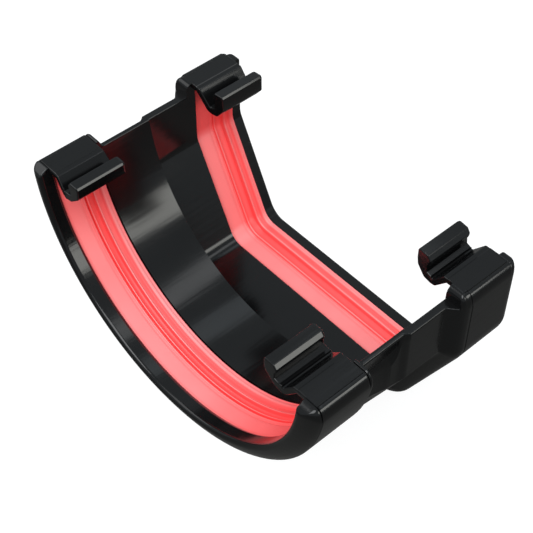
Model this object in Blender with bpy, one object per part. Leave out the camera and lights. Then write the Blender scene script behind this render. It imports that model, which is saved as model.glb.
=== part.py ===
"""Half-round to square-line gutter adaptor: one moulded body and two rubber seals."""
import math

import bpy
import bmesh

# driving sizes (metres)
# Heights are measured from the rim of the plain trough, lengths from the half-round end.
TROUGH_RADIUS = 0.0545        # inside radius of the half-round trough
ARC_CENTRE = 0.0058           # the arc centre stands this far above the rim
TROUGH_WALL = 0.0017          # wall of the half-round trough at its rim
SQUARE_INSET = 0.0001         # half-round radius to the half width of the square-line trough
LIP_DEPTH = 0.0192            # depth of the upright part of the square-line side
FLOOR_INSET = 0.0174          # flat floor, taken to its sharp corners, inside that half width
FLOOR_DROP = 0.0049           # square-line floor below the lowest point of the half-round inside
SQUARE_WALL = 0.0026          # wall of the upright part of the square-line trough
UNDER_WALL = 0.00205          # wall of its sloping sides and floor
EDGE_ROUND = 0.0008           # outside rounding below the upright part
CREASE_ROUND = 0.0060         # inside rounding between the upright and the sloping side
FLOOR_ROUND = 0.0055          # inside rounding between the sloping side and the floor
ROUND_SOCKET_WALL = 0.0071    # half-round trough inside to socket outside
SQUARE_SOCKET_WALL = 0.0068   # square-line trough inside to socket outside

ROUND_NOSE = 0.0016           # bulge of the half-round end in front of station 0
ROUND_MOUTH = 0.0037          # station 0 up to the half-round seal
ROUND_SEAL_WIDTH = 0.0145
ROUND_END_WALL = 0.0013       # cheek wall behind the half-round seal
ROUND_LINK = 0.0183           # half-round trough behind that wall
SQUARE_LINK = 0.0150          # square-line trough up to the collar
COLLAR = 0.0033               # collar in front of the square-line seal
SQUARE_SEAL_WIDTH = 0.0149
SQUARE_MOUTH = 0.0039         # square-line seal up to the end

SEAL_THICKNESS = 0.0036
SEAL_GAP = 0.0003             # clearance between a seal and its seat
SEAL_BACK_GAP = 0.0006        # clearance behind the half-round seal
SEAL_TOP_GAP = 0.0012         # clearance between a seal end and the clip plate
MOUTH_LEAD = 0.0014           # inside of the half-round mouth beside the seal, beyond the trough
MOUTH_NECK = 0.0002           # the same at its front edge
MOUTH_ROUND = 0.0019          # the bulge meets the outer wall here
MOUTH_EDGE = 0.0013           # rounding of the inner front edge
END_ROUND = 0.0040            # rounding of the square-line end, outside
LINE_DEPTH = 0.0003           # depth of the fine line around each socket
LINE_HALF = 0.00025           # half width of that line

ROUND_PLATE_TOP = 0.0028      # clip plate top above the rim, half-round end
SQUARE_PLATE_TOP = 0.0044     # clip plate top above the rim, square-line end
PLATE_THICKNESS = 0.0021
PLATE_SINK = 0.00004          # clip plate below the rim of the wall it grows from
SLIT = 0.00035                # slit between a clip plate and the end cheek
ROUND_CORNER = 0.0026         # rounding of the rim along the outer wall, half-round end
SQUARE_CORNER = 0.0028        # the same at the square-line end
CORNER_TALL = 1.80            # that rounding is taller than wide
SIDE_START = 0.0027           # depth below the rim where it has ended
CHEEK_DROP = 0.0020           # square-line cheek below the plate top

ROUND_PLATE_REACH = 0.0043    # trough inside to the inner edge of the clip plate
ROUND_HEAD_REACH = 0.0149     # trough inside to the inner side of the thumb head
ROUND_HEAD_TOP = 0.0053
SQUARE_PLATE_REACH = 0.0034
SQUARE_HEAD_REACH = 0.0137
SQUARE_HEAD_TOP = 0.0067
HEAD_WIDTH = 0.0048
VALLEY = -0.0004              # floor of the valley between plate and head
VALLEY_THICKNESS = 0.0029
VALLEY_REACH = 0.0081         # trough inside to the middle of the valley
LIP_THICKNESS = 0.0022        # sloping part between plate and valley
EDGE_EASE = 0.0003            # easing of the clip end edges

# stations along the part
ROUND_SEAT_START = ROUND_MOUTH
ROUND_SEAT_END = ROUND_SEAT_START + ROUND_SEAL_WIDTH + SEAL_GAP + SEAL_BACK_GAP
ROUND_SOCKET_END = ROUND_SEAT_END + ROUND_END_WALL
LINK_STEP = ROUND_SOCKET_END + ROUND_LINK
COLLAR_START = LINK_STEP + SQUARE_LINK
SQUARE_SEAT_START = COLLAR_START + COLLAR
SQUARE_SEAT_END = SQUARE_SEAT_START + SQUARE_SEAL_WIDTH + 2 * SEAL_GAP
LENGTH = SQUARE_SEAT_END + SQUARE_MOUTH
SQUARE_HALF = TROUGH_RADIUS - SQUARE_INSET
FLOOR_HALF = SQUARE_HALF - FLOOR_INSET
SQUARE_DEPTH = TROUGH_RADIUS - ARC_CENTRE + FLOOR_DROP
BOTTOM = SQUARE_DEPTH + SQUARE_SOCKET_WALL
MIDDLE = (LENGTH - ROUND_NOSE) / 2

ARC_STEPS = 14
GROOVE_R = TROUGH_RADIUS + SEAL_THICKNESS + SEAL_GAP
GROOVE_E = SEAL_THICKNESS + SEAL_GAP


def lerp(a, b, t):
    return a + (b - a) * t


def mix(p, q, t):
    return [(lerp(a[0], b[0], t), lerp(a[1], b[1], t)) for a, b in zip(p, q)]


class Track:
    """A value given at stations; two entries at one station make a step."""

    def __init__(self, *keys):
        self.keys = keys

    def at(self, y, after):
        keys = self.keys
        if y <= keys[0][0] - 1e-9:
            return keys[0][1]
        same = [v for k, v in keys if abs(k - y) < 1e-9]
        if same:
            return same[-1] if after else same[0]
        for (y0, v0), (y1, v1) in zip(keys, keys[1:]):
            if y0 < y < y1:
                return lerp(v0, v1, (y - y0) / (y1 - y0))
        return keys[-1][1]

    def stations(self):
        return [k for k, _ in self.keys]

    def steps(self):
        return [a for (a, _), (b, _) in zip(self.keys, self.keys[1:]) if abs(a - b) < 1e-9]


# cross sections
def top_corner(x_at, top, rounding, outward):
    """Five points of the rounded rim corner; outward is +1 outside and -1 inside."""
    tall = min(rounding * CORNER_TALL, top + SIDE_START - 0.0003)
    x = x_at(top - tall)
    out = []
    for i in range(5):
        a = i / 4 * math.pi / 2
        out.append((x - outward * rounding * (1 - math.sin(a)), top - tall * (1 - math.cos(a))))
    return out


def arc_x(radius):
    return lambda z: math.sqrt(max(radius ** 2 - (ARC_CENTRE - z) ** 2, 1e-12))


def arc_angles():
    first = math.asin((ARC_CENTRE + SIDE_START) / TROUGH_RADIUS)
    return [lerp(first, math.pi / 2, i / ARC_STEPS) for i in range(ARC_STEPS + 1)]


def round_profile(radius, top, rounding, outward):
    pts = top_corner(arc_x(radius), top, rounding, outward)
    for a in arc_angles():
        pts.append((radius * math.cos(a), ARC_CENTRE - radius * math.sin(a)))
    return pts


def fillet(corner, before, after, radius, count):
    """Points of a rounded corner between two straight lines."""
    def unit(p, q):
        d = (q[0] - p[0], q[1] - p[1])
        n = math.hypot(*d)
        return d[0] / n, d[1] / n
    u = unit(corner, before)
    v = unit(corner, after)
    half = math.acos(max(-1.0, min(1.0, u[0] * v[0] + u[1] * v[1]))) / 2
    cut = radius / math.tan(half)
    b = unit((0, 0), (u[0] + v[0], u[1] + v[1]))
    c = (corner[0] + b[0] * radius / math.sin(half), corner[1] + b[1] * radius / math.sin(half))
    start = math.atan2(corner[1] + u[1] * cut - c[1], corner[0] + u[0] * cut - c[0])
    stop = math.atan2(corner[1] + v[1] * cut - c[1], corner[0] + v[0] * cut - c[0])
    while stop - start > math.pi:
        stop -= 2 * math.pi
    while stop - start < -math.pi:
        stop += 2 * math.pi
    out = []
    for i in range(count):
        a = lerp(start, stop, i / (count - 1))
        out.append((c[0] + radius * math.cos(a), c[1] + radius * math.sin(a)))
    return out


def square_corners(grow, side):
    """Sharp corners of the square-line outline, moved outward by grow and its upright part by side."""
    dx = FLOOR_HALF - SQUARE_HALF
    dz = -(SQUARE_DEPTH - LIP_DEPTH)
    n = math.hypot(dx, dz)
    dx, dz = dx / n, dz / n
    px, pz = SQUARE_HALF - dz * grow, -LIP_DEPTH + dx * grow
    x = SQUARE_HALF + side
    crease = (x, pz + dz * (x - px) / dx)
    z = -(SQUARE_DEPTH + grow)
    floor = (px + dx * (z - pz) / dz, z)
    return crease, floor


def square_lower(grow, side=None, crease_round=None):
    """Outline from the upper end of the crease rounding down to the middle of the floor."""
    crease, floor = square_corners(grow, grow if side is None else side)
    one = fillet(crease, (crease[0], 0.0), floor, crease_round or CREASE_ROUND + grow, 3)
    two = fillet(floor, crease, (0.0, floor[1]), FLOOR_ROUND + grow, 5)
    mid = [(lerp(one[-1][0], two[0][0], t), lerp(one[-1][1], two[0][1], t)) for t in (0.33, 0.67)]
    end = [(two[-1][0] * t, two[-1][1]) for t in (0.67, 0.33)]
    return one + mid + two + end + [(0.0, floor[1])]


def square_profile(side, top, rounding, outward, grow=None, crease_round=None):
    x = SQUARE_HALF + side
    pts = top_corner(lambda z: x, top, rounding, outward)
    lower = square_lower(side if grow is None else grow, side, crease_round)
    pts += [(x, -SIDE_START), (x, lerp(-SIDE_START, lower[0][1], 0.5))]
    return pts + lower


# outside of the link between the sockets
ROUND_OUT = TROUGH_RADIUS + ROUND_SOCKET_WALL
SQUARE_OUT = SQUARE_SOCKET_WALL
BACK_ROUND = ROUND_END_WALL * 0.75


def link(k):
    """Station k of the way from the half-round socket to the step between the troughs."""
    return lerp(ROUND_SOCKET_END, LINK_STEP, k)


LINK_FULL = link(0.96)
LINK_LIP = Track((link(0.0), arc_x(ROUND_OUT - BACK_ROUND - 0.0004)(-LIP_DEPTH)),
                 (link(0.19), SQUARE_HALF + 0.0005), (link(0.33), SQUARE_HALF + 0.0006),
                 (link(0.52), SQUARE_HALF + 0.0010), (link(0.634), SQUARE_HALF + 0.0014),
                 (link(0.781), SQUARE_HALF + 0.0017), (link(0.83), SQUARE_HALF + 0.0019),
                 (link(0.93), SQUARE_HALF + 0.0025), (LINK_FULL, SQUARE_HALF + SQUARE_WALL))
LINK_EDGE = Track((link(0.0), -LIP_DEPTH + 0.0003), (link(0.3), -LIP_DEPTH + 0.0002),
                  (link(0.634), -LIP_DEPTH - 0.0005), (link(0.781), -LIP_DEPTH - 0.0005),
                  (LINK_FULL, square_corners(UNDER_WALL, SQUARE_WALL)[0][1]))
LINK_CREASE = Track((link(0.0), -0.0092), (link(0.64), -0.0087), (link(0.72), -0.0076),
                    (link(0.765), -0.0063), (link(0.79), -0.0047), (link(0.815), -0.0026),
                    (link(0.87), -0.0013))


def link_profile(y, top, rounding):
    """Half-round tube under the rim, growing into the square-line outline lower down."""
    radius = TROUGH_RADIUS + TROUGH_WALL
    x_arc = arc_x(radius)
    full = square_profile(SQUARE_WALL, top, rounding, 1, UNDER_WALL, EDGE_ROUND)
    if y > LINK_FULL - 1e-9:
        return full
    lip = LINK_LIP.at(y, True)
    edge = LINK_EDGE.at(y, True)
    crease = LINK_CREASE.at(y, True)
    rise = max(0.0, (y - link(0.87)) / (LINK_FULL - link(0.87)))
    shift = rise * (lip - x_arc(0.0))
    pts = [(x + shift, z) for x, z in top_corner(x_arc, top, rounding, 1)]
    ledge = 0.0002 + 0.5 * abs(lip - x_arc(crease))
    pts.append((x_arc(crease) + shift, min(crease + ledge, pts[-1][1] - 0.0002)))
    pts.append((lip, crease - ledge))
    reach = math.hypot(lip, ARC_CENTRE - edge)
    turn = math.atan2(ARC_CENTRE - edge, lip) + math.acos(min(1.0, radius / reach))
    touch = (radius * math.cos(turn), ARC_CENTRE - radius * math.sin(turn))
    arc = [lerp(turn, math.pi / 2, i / 7) for i in range(8)]
    tube = [(lip, edge)] * 3 + [(lerp(lip, touch[0], k), lerp(edge, touch[1], k)) for k in (0.33, 0.67)]
    tube += [(radius * math.cos(a), ARC_CENTRE - radius * math.sin(a)) for a in arc]
    blend = mix(tube, full[7:], min(1.0, (y - link(0.0)) / (link(0.9) - link(0.0))))
    return pts + fillet((lip, edge), (lip, 0.0), blend[3], EDGE_ROUND, 3) + blend[3:]


# tracks along the part
def quarter(start, length, low, high, rising):
    """Stations of a quarter round: the value grows to high when rising, else falls from it."""
    keys = []
    for i in range(4):
        a = i / 3 * math.pi / 2
        if rising:
            keys.append((start + length * (1 - math.cos(a)), low + (high - low) * math.sin(a)))
        else:
            keys.append((start + length * math.sin(a), low + (high - low) * math.cos(a)))
    return keys


LINE_AT = MOUTH_ROUND + LINE_HALF
LINE_S = SQUARE_SEAT_START + LINE_HALF
SLIT_R = ROUND_SEAT_END - SLIT
SLIT_S = SQUARE_SEAT_END + 0.0007
SLIT_DEEP_R = ROUND_PLATE_TOP - PLATE_THICKNESS - 0.0002
SLIT_DEEP_S = SQUARE_PLATE_TOP - CHEEK_DROP - 0.0010
SQUARE_CHEEK = SQUARE_PLATE_TOP - CHEEK_DROP
COLLAR_FLARE = COLLAR * 0.9


def flare(k):
    """Station on the way from the plain trough to the collar; 0 at its start, 1 at full width."""
    return COLLAR_START - COLLAR_FLARE + k * (COLLAR_FLARE + COLLAR * 0.8)


FLARE = ((0.0, 0.0), (0.12, 0.07), (0.26, 0.24), (0.40, 0.46), (0.56, 0.71), (0.76, 0.91), (1.0, 1.0))


def flared(low, high):
    """Keys of a value that grows from low to high along the collar."""
    return [(flare(k), lerp(low, high, f)) for k, f in FLARE]


NECK = TROUGH_RADIUS + MOUTH_NECK
NOSE_IN = NECK + MOUTH_EDGE


def nose(k, f, low, high):
    """Key on the bulge: k of the way to the outer wall, f of the way from low to high."""
    return lerp(-ROUND_NOSE, MOUTH_ROUND, k), lerp(low, high, f)


BULGE = ((0.0, 0.0), (0.05, 0.15), (0.17, 0.37), (0.37, 0.62), (0.60, 0.81), (0.80, 0.93), (1.0, 1.0))
OUT_R = Track(*[nose(k, f, NOSE_IN + 0.0003, ROUND_OUT) for k, f in BULGE],
              (LINE_AT, ROUND_OUT - LINE_DEPTH), (LINE_AT + LINE_HALF, ROUND_OUT),
              *quarter(ROUND_SOCKET_END - BACK_ROUND, BACK_ROUND, ROUND_OUT - BACK_ROUND,
                       ROUND_OUT, False))
OUT_S = Track(*flared(SQUARE_WALL, SQUARE_OUT),
              *quarter(LENGTH - END_ROUND, END_ROUND, SQUARE_OUT - END_ROUND, SQUARE_OUT, False))
UNDER_S = Track(*flared(UNDER_WALL, SQUARE_OUT),
                *quarter(LENGTH - END_ROUND, END_ROUND, SQUARE_OUT - END_ROUND, SQUARE_OUT, False))
EDGE_FULL = CREASE_ROUND + SQUARE_OUT
EDGE_S = Track((flare(0.0), EDGE_ROUND), (flare(1.0), EDGE_FULL), (LENGTH - END_ROUND, EDGE_FULL),
               (LENGTH, EDGE_FULL - END_ROUND))
LINE = Track((LINE_S - LINE_HALF, 0.0), (LINE_S, LINE_DEPTH), (LINE_S + LINE_HALF, 0.0))
IN_R = Track(*quarter(-ROUND_NOSE, MOUTH_EDGE, NOSE_IN, NECK, True),
             (ROUND_SEAT_START, TROUGH_RADIUS + MOUTH_LEAD), (ROUND_SEAT_START, GROOVE_R),
             (ROUND_SEAT_END, GROOVE_R), (ROUND_SEAT_END, TROUGH_RADIUS), (LINK_STEP, TROUGH_RADIUS))
IN_S = Track((LINK_STEP, 0.0), (SQUARE_SEAT_START, 0.0), (SQUARE_SEAT_START, GROOVE_E),
             (SQUARE_SEAT_END, GROOVE_E), (SQUARE_SEAT_END, 0.0004), (LENGTH - 0.0008, 0.0006),
             (LENGTH - 0.0003, 0.0009), (LENGTH, 0.0014))
COLLAR_RISE = ((0.0, 0.54), (0.08, 0.73), (0.22, 0.88), (0.40, 0.97), (0.56, 1.0))


def collar(k, f):
    """Key on the collar's rim: k of the way along the collar, f of the way up to the clip plate."""
    return COLLAR_START + COLLAR * k, SQUARE_PLATE_TOP * f


TOP = Track(*[nose(k, f, ROUND_PLATE_TOP - 0.0026, ROUND_PLATE_TOP) for k, f in BULGE],
            (LINE_AT, ROUND_PLATE_TOP - LINE_DEPTH), (LINE_AT + LINE_HALF, ROUND_PLATE_TOP),
            (SLIT_R, ROUND_PLATE_TOP), (SLIT_R, SLIT_DEEP_R), (ROUND_SEAT_END, SLIT_DEEP_R),
            (ROUND_SEAT_END, ROUND_PLATE_TOP - 0.0004),
            (ROUND_SEAT_END + ROUND_END_WALL * 0.3, ROUND_PLATE_TOP - 0.0002),
            (ROUND_SOCKET_END - ROUND_END_WALL * 0.3, ROUND_PLATE_TOP - 0.0004),
            (ROUND_SOCKET_END, ROUND_PLATE_TOP - 0.0011), (ROUND_SOCKET_END, 0.0),
            (COLLAR_START, 0.0), *[collar(k, f) for k, f in COLLAR_RISE],
            (SLIT_S, SQUARE_PLATE_TOP), (SLIT_S, SLIT_DEEP_S), (SLIT_S + SLIT, SLIT_DEEP_S),
            (SLIT_S + SLIT, SQUARE_CHEEK), (LENGTH - 0.0012, SQUARE_CHEEK),
            (LENGTH - 0.0004, SQUARE_CHEEK - 0.0005), (LENGTH, SQUARE_CHEEK - 0.0012))
CORNER = Track((-ROUND_NOSE, 0.0003), (MOUTH_ROUND, ROUND_CORNER), (ROUND_SOCKET_END, ROUND_CORNER),
               (ROUND_SOCKET_END, 0.0004), (COLLAR_START, 0.0004), (COLLAR_START, 0.0010),
               (COLLAR_START + COLLAR * 0.56, SQUARE_CORNER), (SLIT_S + SLIT, SQUARE_CORNER),
               (LENGTH, 0.0010))
IN_CORNER = Track((-ROUND_NOSE, 0.0001), (0.0, 0.0008), (MOUTH_ROUND, 0.00002), (SLIT_R, 0.00002),
                  (SLIT_R, 0.0003), (COLLAR_START, 0.0003),
                  (COLLAR_START + COLLAR * 0.56, 0.00002), (SLIT_S, 0.00002), (SLIT_S, 0.0003),
                  (LENGTH, 0.0003))


def stations():
    """Every station, with both sides of each step, in order."""
    tracks = [OUT_R, OUT_S, IN_R, IN_S, TOP, CORNER, IN_CORNER, LINE, LINK_LIP, LINK_EDGE, LINK_CREASE]
    ys = []
    for t in tracks:
        for y in t.stations():
            if not any(abs(y - k) < 2e-6 for k in ys):
                ys.append(y)
    steps = [y for t in tracks for y in t.steps()] + [ROUND_SOCKET_END, LINK_STEP]
    out = []
    for y in sorted(ys):
        out.append((y, False))
        if any(abs(y - k) < 2e-6 for k in steps):
            out.append((y, True))
    return out


def half_ring(y, after):
    """Outer and inner half outline at a station, each from the rim down to the middle."""
    top = TOP.at(y, after)
    if y < LINK_STEP - 1e-9 or (abs(y - LINK_STEP) < 1e-9 and not after):
        inner = round_profile(IN_R.at(y, after), top, IN_CORNER.at(y, after), -1)
    else:
        inner = square_profile(IN_S.at(y, after), top, IN_CORNER.at(y, after), -1)
    in_round = y < ROUND_SOCKET_END - 1e-9 or (abs(y - ROUND_SOCKET_END) < 1e-9 and not after)
    if in_round:
        full = arc_x(OUT_R.at(y, after))(top)
    elif y < flare(0.0):
        full = arc_x(TROUGH_RADIUS + TROUGH_WALL)(top)
    else:
        full = SQUARE_HALF + OUT_S.at(y, after)
    corner = min(CORNER.at(y, after), 0.82 * (full - inner[0][0]))
    if in_round:
        outer = round_profile(OUT_R.at(y, after), top, corner, 1)
    elif y < flare(0.0):
        outer = link_profile(y, top, corner)
    else:
        side, under, edge = (t.at(y, after) for t in (OUT_S, UNDER_S, EDGE_S))
        cut = LINE.at(y, after)
        outer = square_profile(side, top, corner, 1, under, edge)[:5]
        outer += square_profile(side - cut, top, corner, 1, under - cut, edge)[5:]
    return outer, inner


def placed(x, y, z):
    """From rim-and-end coordinates to the part frame."""
    return x, y - MIDDLE, z + BOTTOM


def finish(bm, name, merge=1e-6):
    bmesh.ops.remove_doubles(bm, verts=bm.verts, dist=merge)
    bmesh.ops.dissolve_degenerate(bm, dist=1e-7, edges=bm.edges)
    bmesh.ops.recalc_face_normals(bm, faces=bm.faces)
    mesh = bpy.data.meshes.new(name)
    bm.to_mesh(mesh)
    bm.free()
    obj = bpy.data.objects.new(name, mesh)
    bpy.context.scene.collection.objects.link(obj)
    return obj


def grid_solid(rings, name):
    """Closed solid from equal closed rings, capped at both ends."""
    bm = bmesh.new()
    rows = [[bm.verts.new(p) for p in ring] for ring in rings]
    n = len(rings[0])
    for a, b in zip(rows, rows[1:]):
        for i in range(n):
            j = (i + 1) % n
            bm.faces.new((a[i], a[j], b[j], b[i]))
    caps = [bm.faces.new(rows[0][::-1]), bm.faces.new(rows[-1])]
    bm.normal_update()
    bmesh.ops.triangulate(bm, faces=caps, ngon_method="EAR_CLIP")
    return finish(bm, name)


def build_trough():
    rings = []
    for y, after in stations():
        outer, inner = half_ring(y, after)
        loop = outer + [(-x, z) for x, z in outer[-2::-1]]
        loop += [(-x, z) for x, z in inner] + inner[-2::-1]
        rings.append([placed(x, y, z) for x, z in loop])
    return grid_solid(rings, "body")


# snap clips
def bent(points):
    """Closed outline from (x, z, rounding) corners."""
    out = []
    n = len(points)
    for i, (x, z, r) in enumerate(points):
        if r <= 0:
            out.append((x, z))
        else:
            out += fillet((x, z), points[i - 1][:2], points[(i + 1) % n][:2], r, 3 if r < 0.001 else 4)
    return out


def clip_outline(root, top, plate_in, head_in, valley_x, head_top):
    """Section of one clip on the +X side: plate, sloping lip, valley and thumb head."""
    under = top - PLATE_THICKNESS
    top = top - PLATE_SINK
    floor = VALLEY - VALLEY_THICKNESS
    head_out = head_in + HEAD_WIDTH
    slope_low = valley_x + 0.0010
    run = math.atan2(top - VALLEY, plate_in - slope_low)
    bend = slope_low + (LIP_THICKNESS + (under - VALLEY) * math.cos(run)) / math.sin(run)
    mid = lerp(VALLEY, head_top, 0.5)
    pts = [(root, under, 0), (root, top, 0), (plate_in + 0.0016, top, 0),
           (plate_in + 0.0014, top - 0.00015, 0), (plate_in, top - 0.0002, 0.0007),
           (slope_low, VALLEY, 0.0005), (slope_low - 0.0003, VALLEY - 0.0004, 0),
           (slope_low - 0.0007, VALLEY - 0.0004, 0), (slope_low - 0.0009, VALLEY + 0.0001, 0),
           (lerp(head_out, slope_low, 0.35), VALLEY - 0.0001, 0),
           (head_out - 0.0003, VALLEY + 0.0004, 0),
           (head_out - 0.0004, mid - 0.0006, 0), (head_out, head_top - 0.0008, 0.0004),
           (head_out - 0.0016, head_top, 0.0006), (head_in + 0.0012, head_top, 0.0010),
           (head_in, mid + 0.0004, 0.0008), (head_in + 0.0008, VALLEY + 0.0008, 0.0010),
           (valley_x - 0.0026, floor + 0.0006, 0.0016), (valley_x, floor, 0),
           (slope_low + LIP_THICKNESS * 0.35, floor + 0.0005, 0.0016),
           (bend, under, 0.0008)]
    return bent(pts)


def inset(outline, d):
    """Outline moved inward by d at each point."""
    n = len(outline)
    turned = zip(outline, outline[1:] + outline[:1])
    area = sum(p[0] * q[1] - q[0] * p[1] for p, q in turned)
    s = 1.0 if area > 0 else -1.0
    out = []
    for i in range(n):
        p, q, r = outline[i - 1], outline[i], outline[(i + 1) % n]
        ux, uz = q[0] - p[0], q[1] - p[1]
        vx, vz = r[0] - q[0], r[1] - q[1]
        un, vn = math.hypot(ux, uz), math.hypot(vx, vz)
        nx, nz = -(uz / un + vz / vn) * s, (ux / un + vx / vn) * s
        k = math.hypot(nx, nz)
        out.append((q[0] + d * nx / k, q[1] + d * nz / k))
    return out


def clip_solid(outline, front, back, valley_x, side):
    """Prism of the clip section; front and back give the end stations at head and plate."""
    def shift(pair, x):
        return lerp(pair[0], pair[1], max(0.0, min(1.0, (x - valley_x) / 0.0050)))
    rings = []
    for grow, step in ((EDGE_EASE, 0.0), (EDGE_EASE * 0.3, EDGE_EASE * 0.3), (0.0, EDGE_EASE)):
        rings.append([placed(side * x, shift(front, x) + step, z) for x, z in inset(outline, grow)])
    for grow, step in ((0.0, EDGE_EASE), (EDGE_EASE * 0.3, EDGE_EASE * 0.3), (EDGE_EASE, 0.0)):
        rings.append([placed(side * x, shift(back, x) - step, z) for x, z in inset(outline, grow)])
    return grid_solid(rings, "clip")


def join(target, tool):
    mod = target.modifiers.new("join", "BOOLEAN")
    mod.operation = "UNION"
    mod.solver = "EXACT"
    mod.object = tool
    dep = bpy.context.evaluated_depsgraph_get()
    mesh = bpy.data.meshes.new_from_object(target.evaluated_get(dep))
    target.modifiers.remove(mod)
    old = target.data
    target.data = mesh
    bpy.data.meshes.remove(old)
    bpy.data.objects.remove(tool)


def add_clips(body):
    root_r = arc_x(GROOVE_R)(ROUND_PLATE_TOP) + 0.0004
    root_s = SQUARE_HALF + GROOVE_E + 0.0004
    valley_r = TROUGH_RADIUS - VALLEY_REACH
    valley_s = SQUARE_HALF - VALLEY_REACH
    round_clip = clip_outline(root_r, ROUND_PLATE_TOP, TROUGH_RADIUS - ROUND_PLATE_REACH,
                              TROUGH_RADIUS - ROUND_HEAD_REACH, valley_r, ROUND_HEAD_TOP)
    square_clip = clip_outline(root_s, SQUARE_PLATE_TOP, SQUARE_HALF - SQUARE_PLATE_REACH,
                               SQUARE_HALF - SQUARE_HEAD_REACH, valley_s, SQUARE_HEAD_TOP)
    round_front = (ROUND_MOUTH * 0.40, ROUND_MOUTH * 0.58)
    round_back = (SLIT_R + 0.0003, SLIT_R - 0.00002)
    square_front = (SQUARE_SEAT_START - COLLAR * 0.1, SQUARE_SEAT_START - COLLAR * 0.3)
    square_back = (SLIT_S, SLIT_S - 0.00002)
    for side in (1, -1):
        join(body, clip_solid(round_clip, round_front, round_back, valley_r, side))
        join(body, clip_solid(square_clip, square_front, square_back, valley_s, side))


# seals
def seal_section(width):
    """Across the seal: distance from its front edge and height of the crest above the seat."""
    t = SEAL_THICKNESS
    w = width
    return [(0.0, 0.0), (0.0, t * 0.48), (w * 0.02, t * 0.575), (w * 0.08, t * 0.60),
            (w * 0.37, t * 0.66), (w * 0.41, t * 0.58), (w * 0.45, t * 0.74), (w * 0.475, t * 0.50),
            (w * 0.50, t * 0.50), (w * 0.525, t * 0.76), (w * 0.555, t * 0.48), (w * 0.62, t * 0.48),
            (w * 0.69, t * 0.90), (w * 0.72, t * 0.80), (w * 0.84, t * 0.80), (w * 0.88, t * 1.0),
            (w * 0.92, t * 0.95), (w * 0.98, t), (w, t * 0.95), (w, 0.0)]


def build_round_seal():
    crest = seal_section(ROUND_SEAL_WIDTH)
    seat = TROUGH_RADIUS + SEAL_THICKNESS
    top = ROUND_PLATE_TOP - PLATE_THICKNESS - SEAL_TOP_GAP
    first = math.asin((ARC_CENTRE - top) / seat)
    steps = 2 * ARC_STEPS + 2
    rings = []
    for i in range(steps + 1):
        a = lerp(first, math.pi - first, i / steps)
        ring = []
        for s, h in crest:
            r = seat - h
            y = ROUND_SEAT_START + SEAL_GAP + s
            ring.append(placed(r * math.cos(a), y, ARC_CENTRE - r * math.sin(a)))
        rings.append(ring)
    return grid_solid(rings, "half_round_seal")


def build_square_seal():
    crest = seal_section(SQUARE_SEAL_WIDTH)
    top = SQUARE_PLATE_TOP - PLATE_THICKNESS - SEAL_TOP_GAP
    lines = []
    for s, h in crest:
        grow = SEAL_THICKNESS - h
        lower = square_lower(grow)
        half = [(SQUARE_HALF + grow, top), (SQUARE_HALF + grow, lerp(top, lower[0][1], 0.5))] + lower
        lines.append((s, half + [(-x, z) for x, z in half[-2::-1]]))
    rings = []
    front = SQUARE_SEAT_START + SEAL_GAP
    for i in range(len(lines[0][1])):
        rings.append([placed(line[i][0], front + s, line[i][1]) for s, line in lines])
    return grid_solid(rings, "square_seal")


# materials and assembly
def material(name, colour, roughness, coat):
    mat = bpy.data.materials.new(name)
    mat.use_nodes = True
    node = mat.node_tree.nodes["Principled BSDF"]
    node.inputs["Base Color"].default_value = (*colour, 1.0)
    node.inputs["Roughness"].default_value = roughness
    node.inputs["Coat Weight"].default_value = coat
    return mat


def shade(obj, angle):
    bpy.ops.object.select_all(action="DESELECT")
    obj.select_set(True)
    bpy.context.view_layer.objects.active = obj
    bpy.ops.object.shade_smooth()
    obj.data.set_sharp_from_angle(angle=math.radians(angle))


def main():
    for obj in list(bpy.data.objects):
        bpy.data.objects.remove(obj)
    body = build_trough()
    add_clips(body)
    half_round_seal = build_round_seal()
    square_seal = build_square_seal()
    body.data.materials.clear()
    body.data.materials.append(material("body_black", (0.012, 0.012, 0.013), 0.18, 0.3))
    coral = (0.90, 0.16, 0.15)
    half_round_seal.data.materials.append(material("half_round_seal_coral", coral, 0.55, 0.0))
    square_seal.data.materials.append(material("square_seal_coral", coral, 0.55, 0.0))
    shade(body, 28)
    shade(half_round_seal, 20)
    shade(square_seal, 20)


main()
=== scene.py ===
"""Looks of a gutter adaptor: one glossy black moulding and two ribbed coral seals."""
import logging
import math
from abc import ABC, abstractmethod
from collections.abc import Callable
from dataclasses import dataclass, field
from enum import Enum

import bmesh
import bpy
from mathutils import Matrix, Vector

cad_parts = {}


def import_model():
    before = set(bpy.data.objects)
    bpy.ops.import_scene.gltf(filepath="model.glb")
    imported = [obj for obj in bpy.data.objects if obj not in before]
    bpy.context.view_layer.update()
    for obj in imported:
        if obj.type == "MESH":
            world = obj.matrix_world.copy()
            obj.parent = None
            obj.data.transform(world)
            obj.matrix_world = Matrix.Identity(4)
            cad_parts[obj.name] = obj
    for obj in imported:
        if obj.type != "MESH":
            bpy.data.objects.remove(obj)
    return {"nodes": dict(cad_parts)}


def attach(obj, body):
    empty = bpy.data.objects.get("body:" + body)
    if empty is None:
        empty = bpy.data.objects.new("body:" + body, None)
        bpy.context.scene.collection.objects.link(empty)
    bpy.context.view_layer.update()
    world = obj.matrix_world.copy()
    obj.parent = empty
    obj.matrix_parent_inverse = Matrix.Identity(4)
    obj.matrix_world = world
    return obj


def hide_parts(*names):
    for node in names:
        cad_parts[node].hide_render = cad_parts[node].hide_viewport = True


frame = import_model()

LOG = logging.getLogger("gutter_adaptor")
SAME = 1e-9               # stations closer than this are one station
CLOSE = 2e-6              # keys of different tracks closer than this share a ring
DOUBLE = 1e-6             # vertices closer than this are merged
FLAT_WEIGHT = 80          # how much more a large face counts in the shading beside it, 50 is even

Point = tuple[float, float]
Place = tuple[float, float, float]
Colour = tuple[float, float, float]
Ring = list[Place]
HalfWidth = Callable[[float], float]


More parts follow.
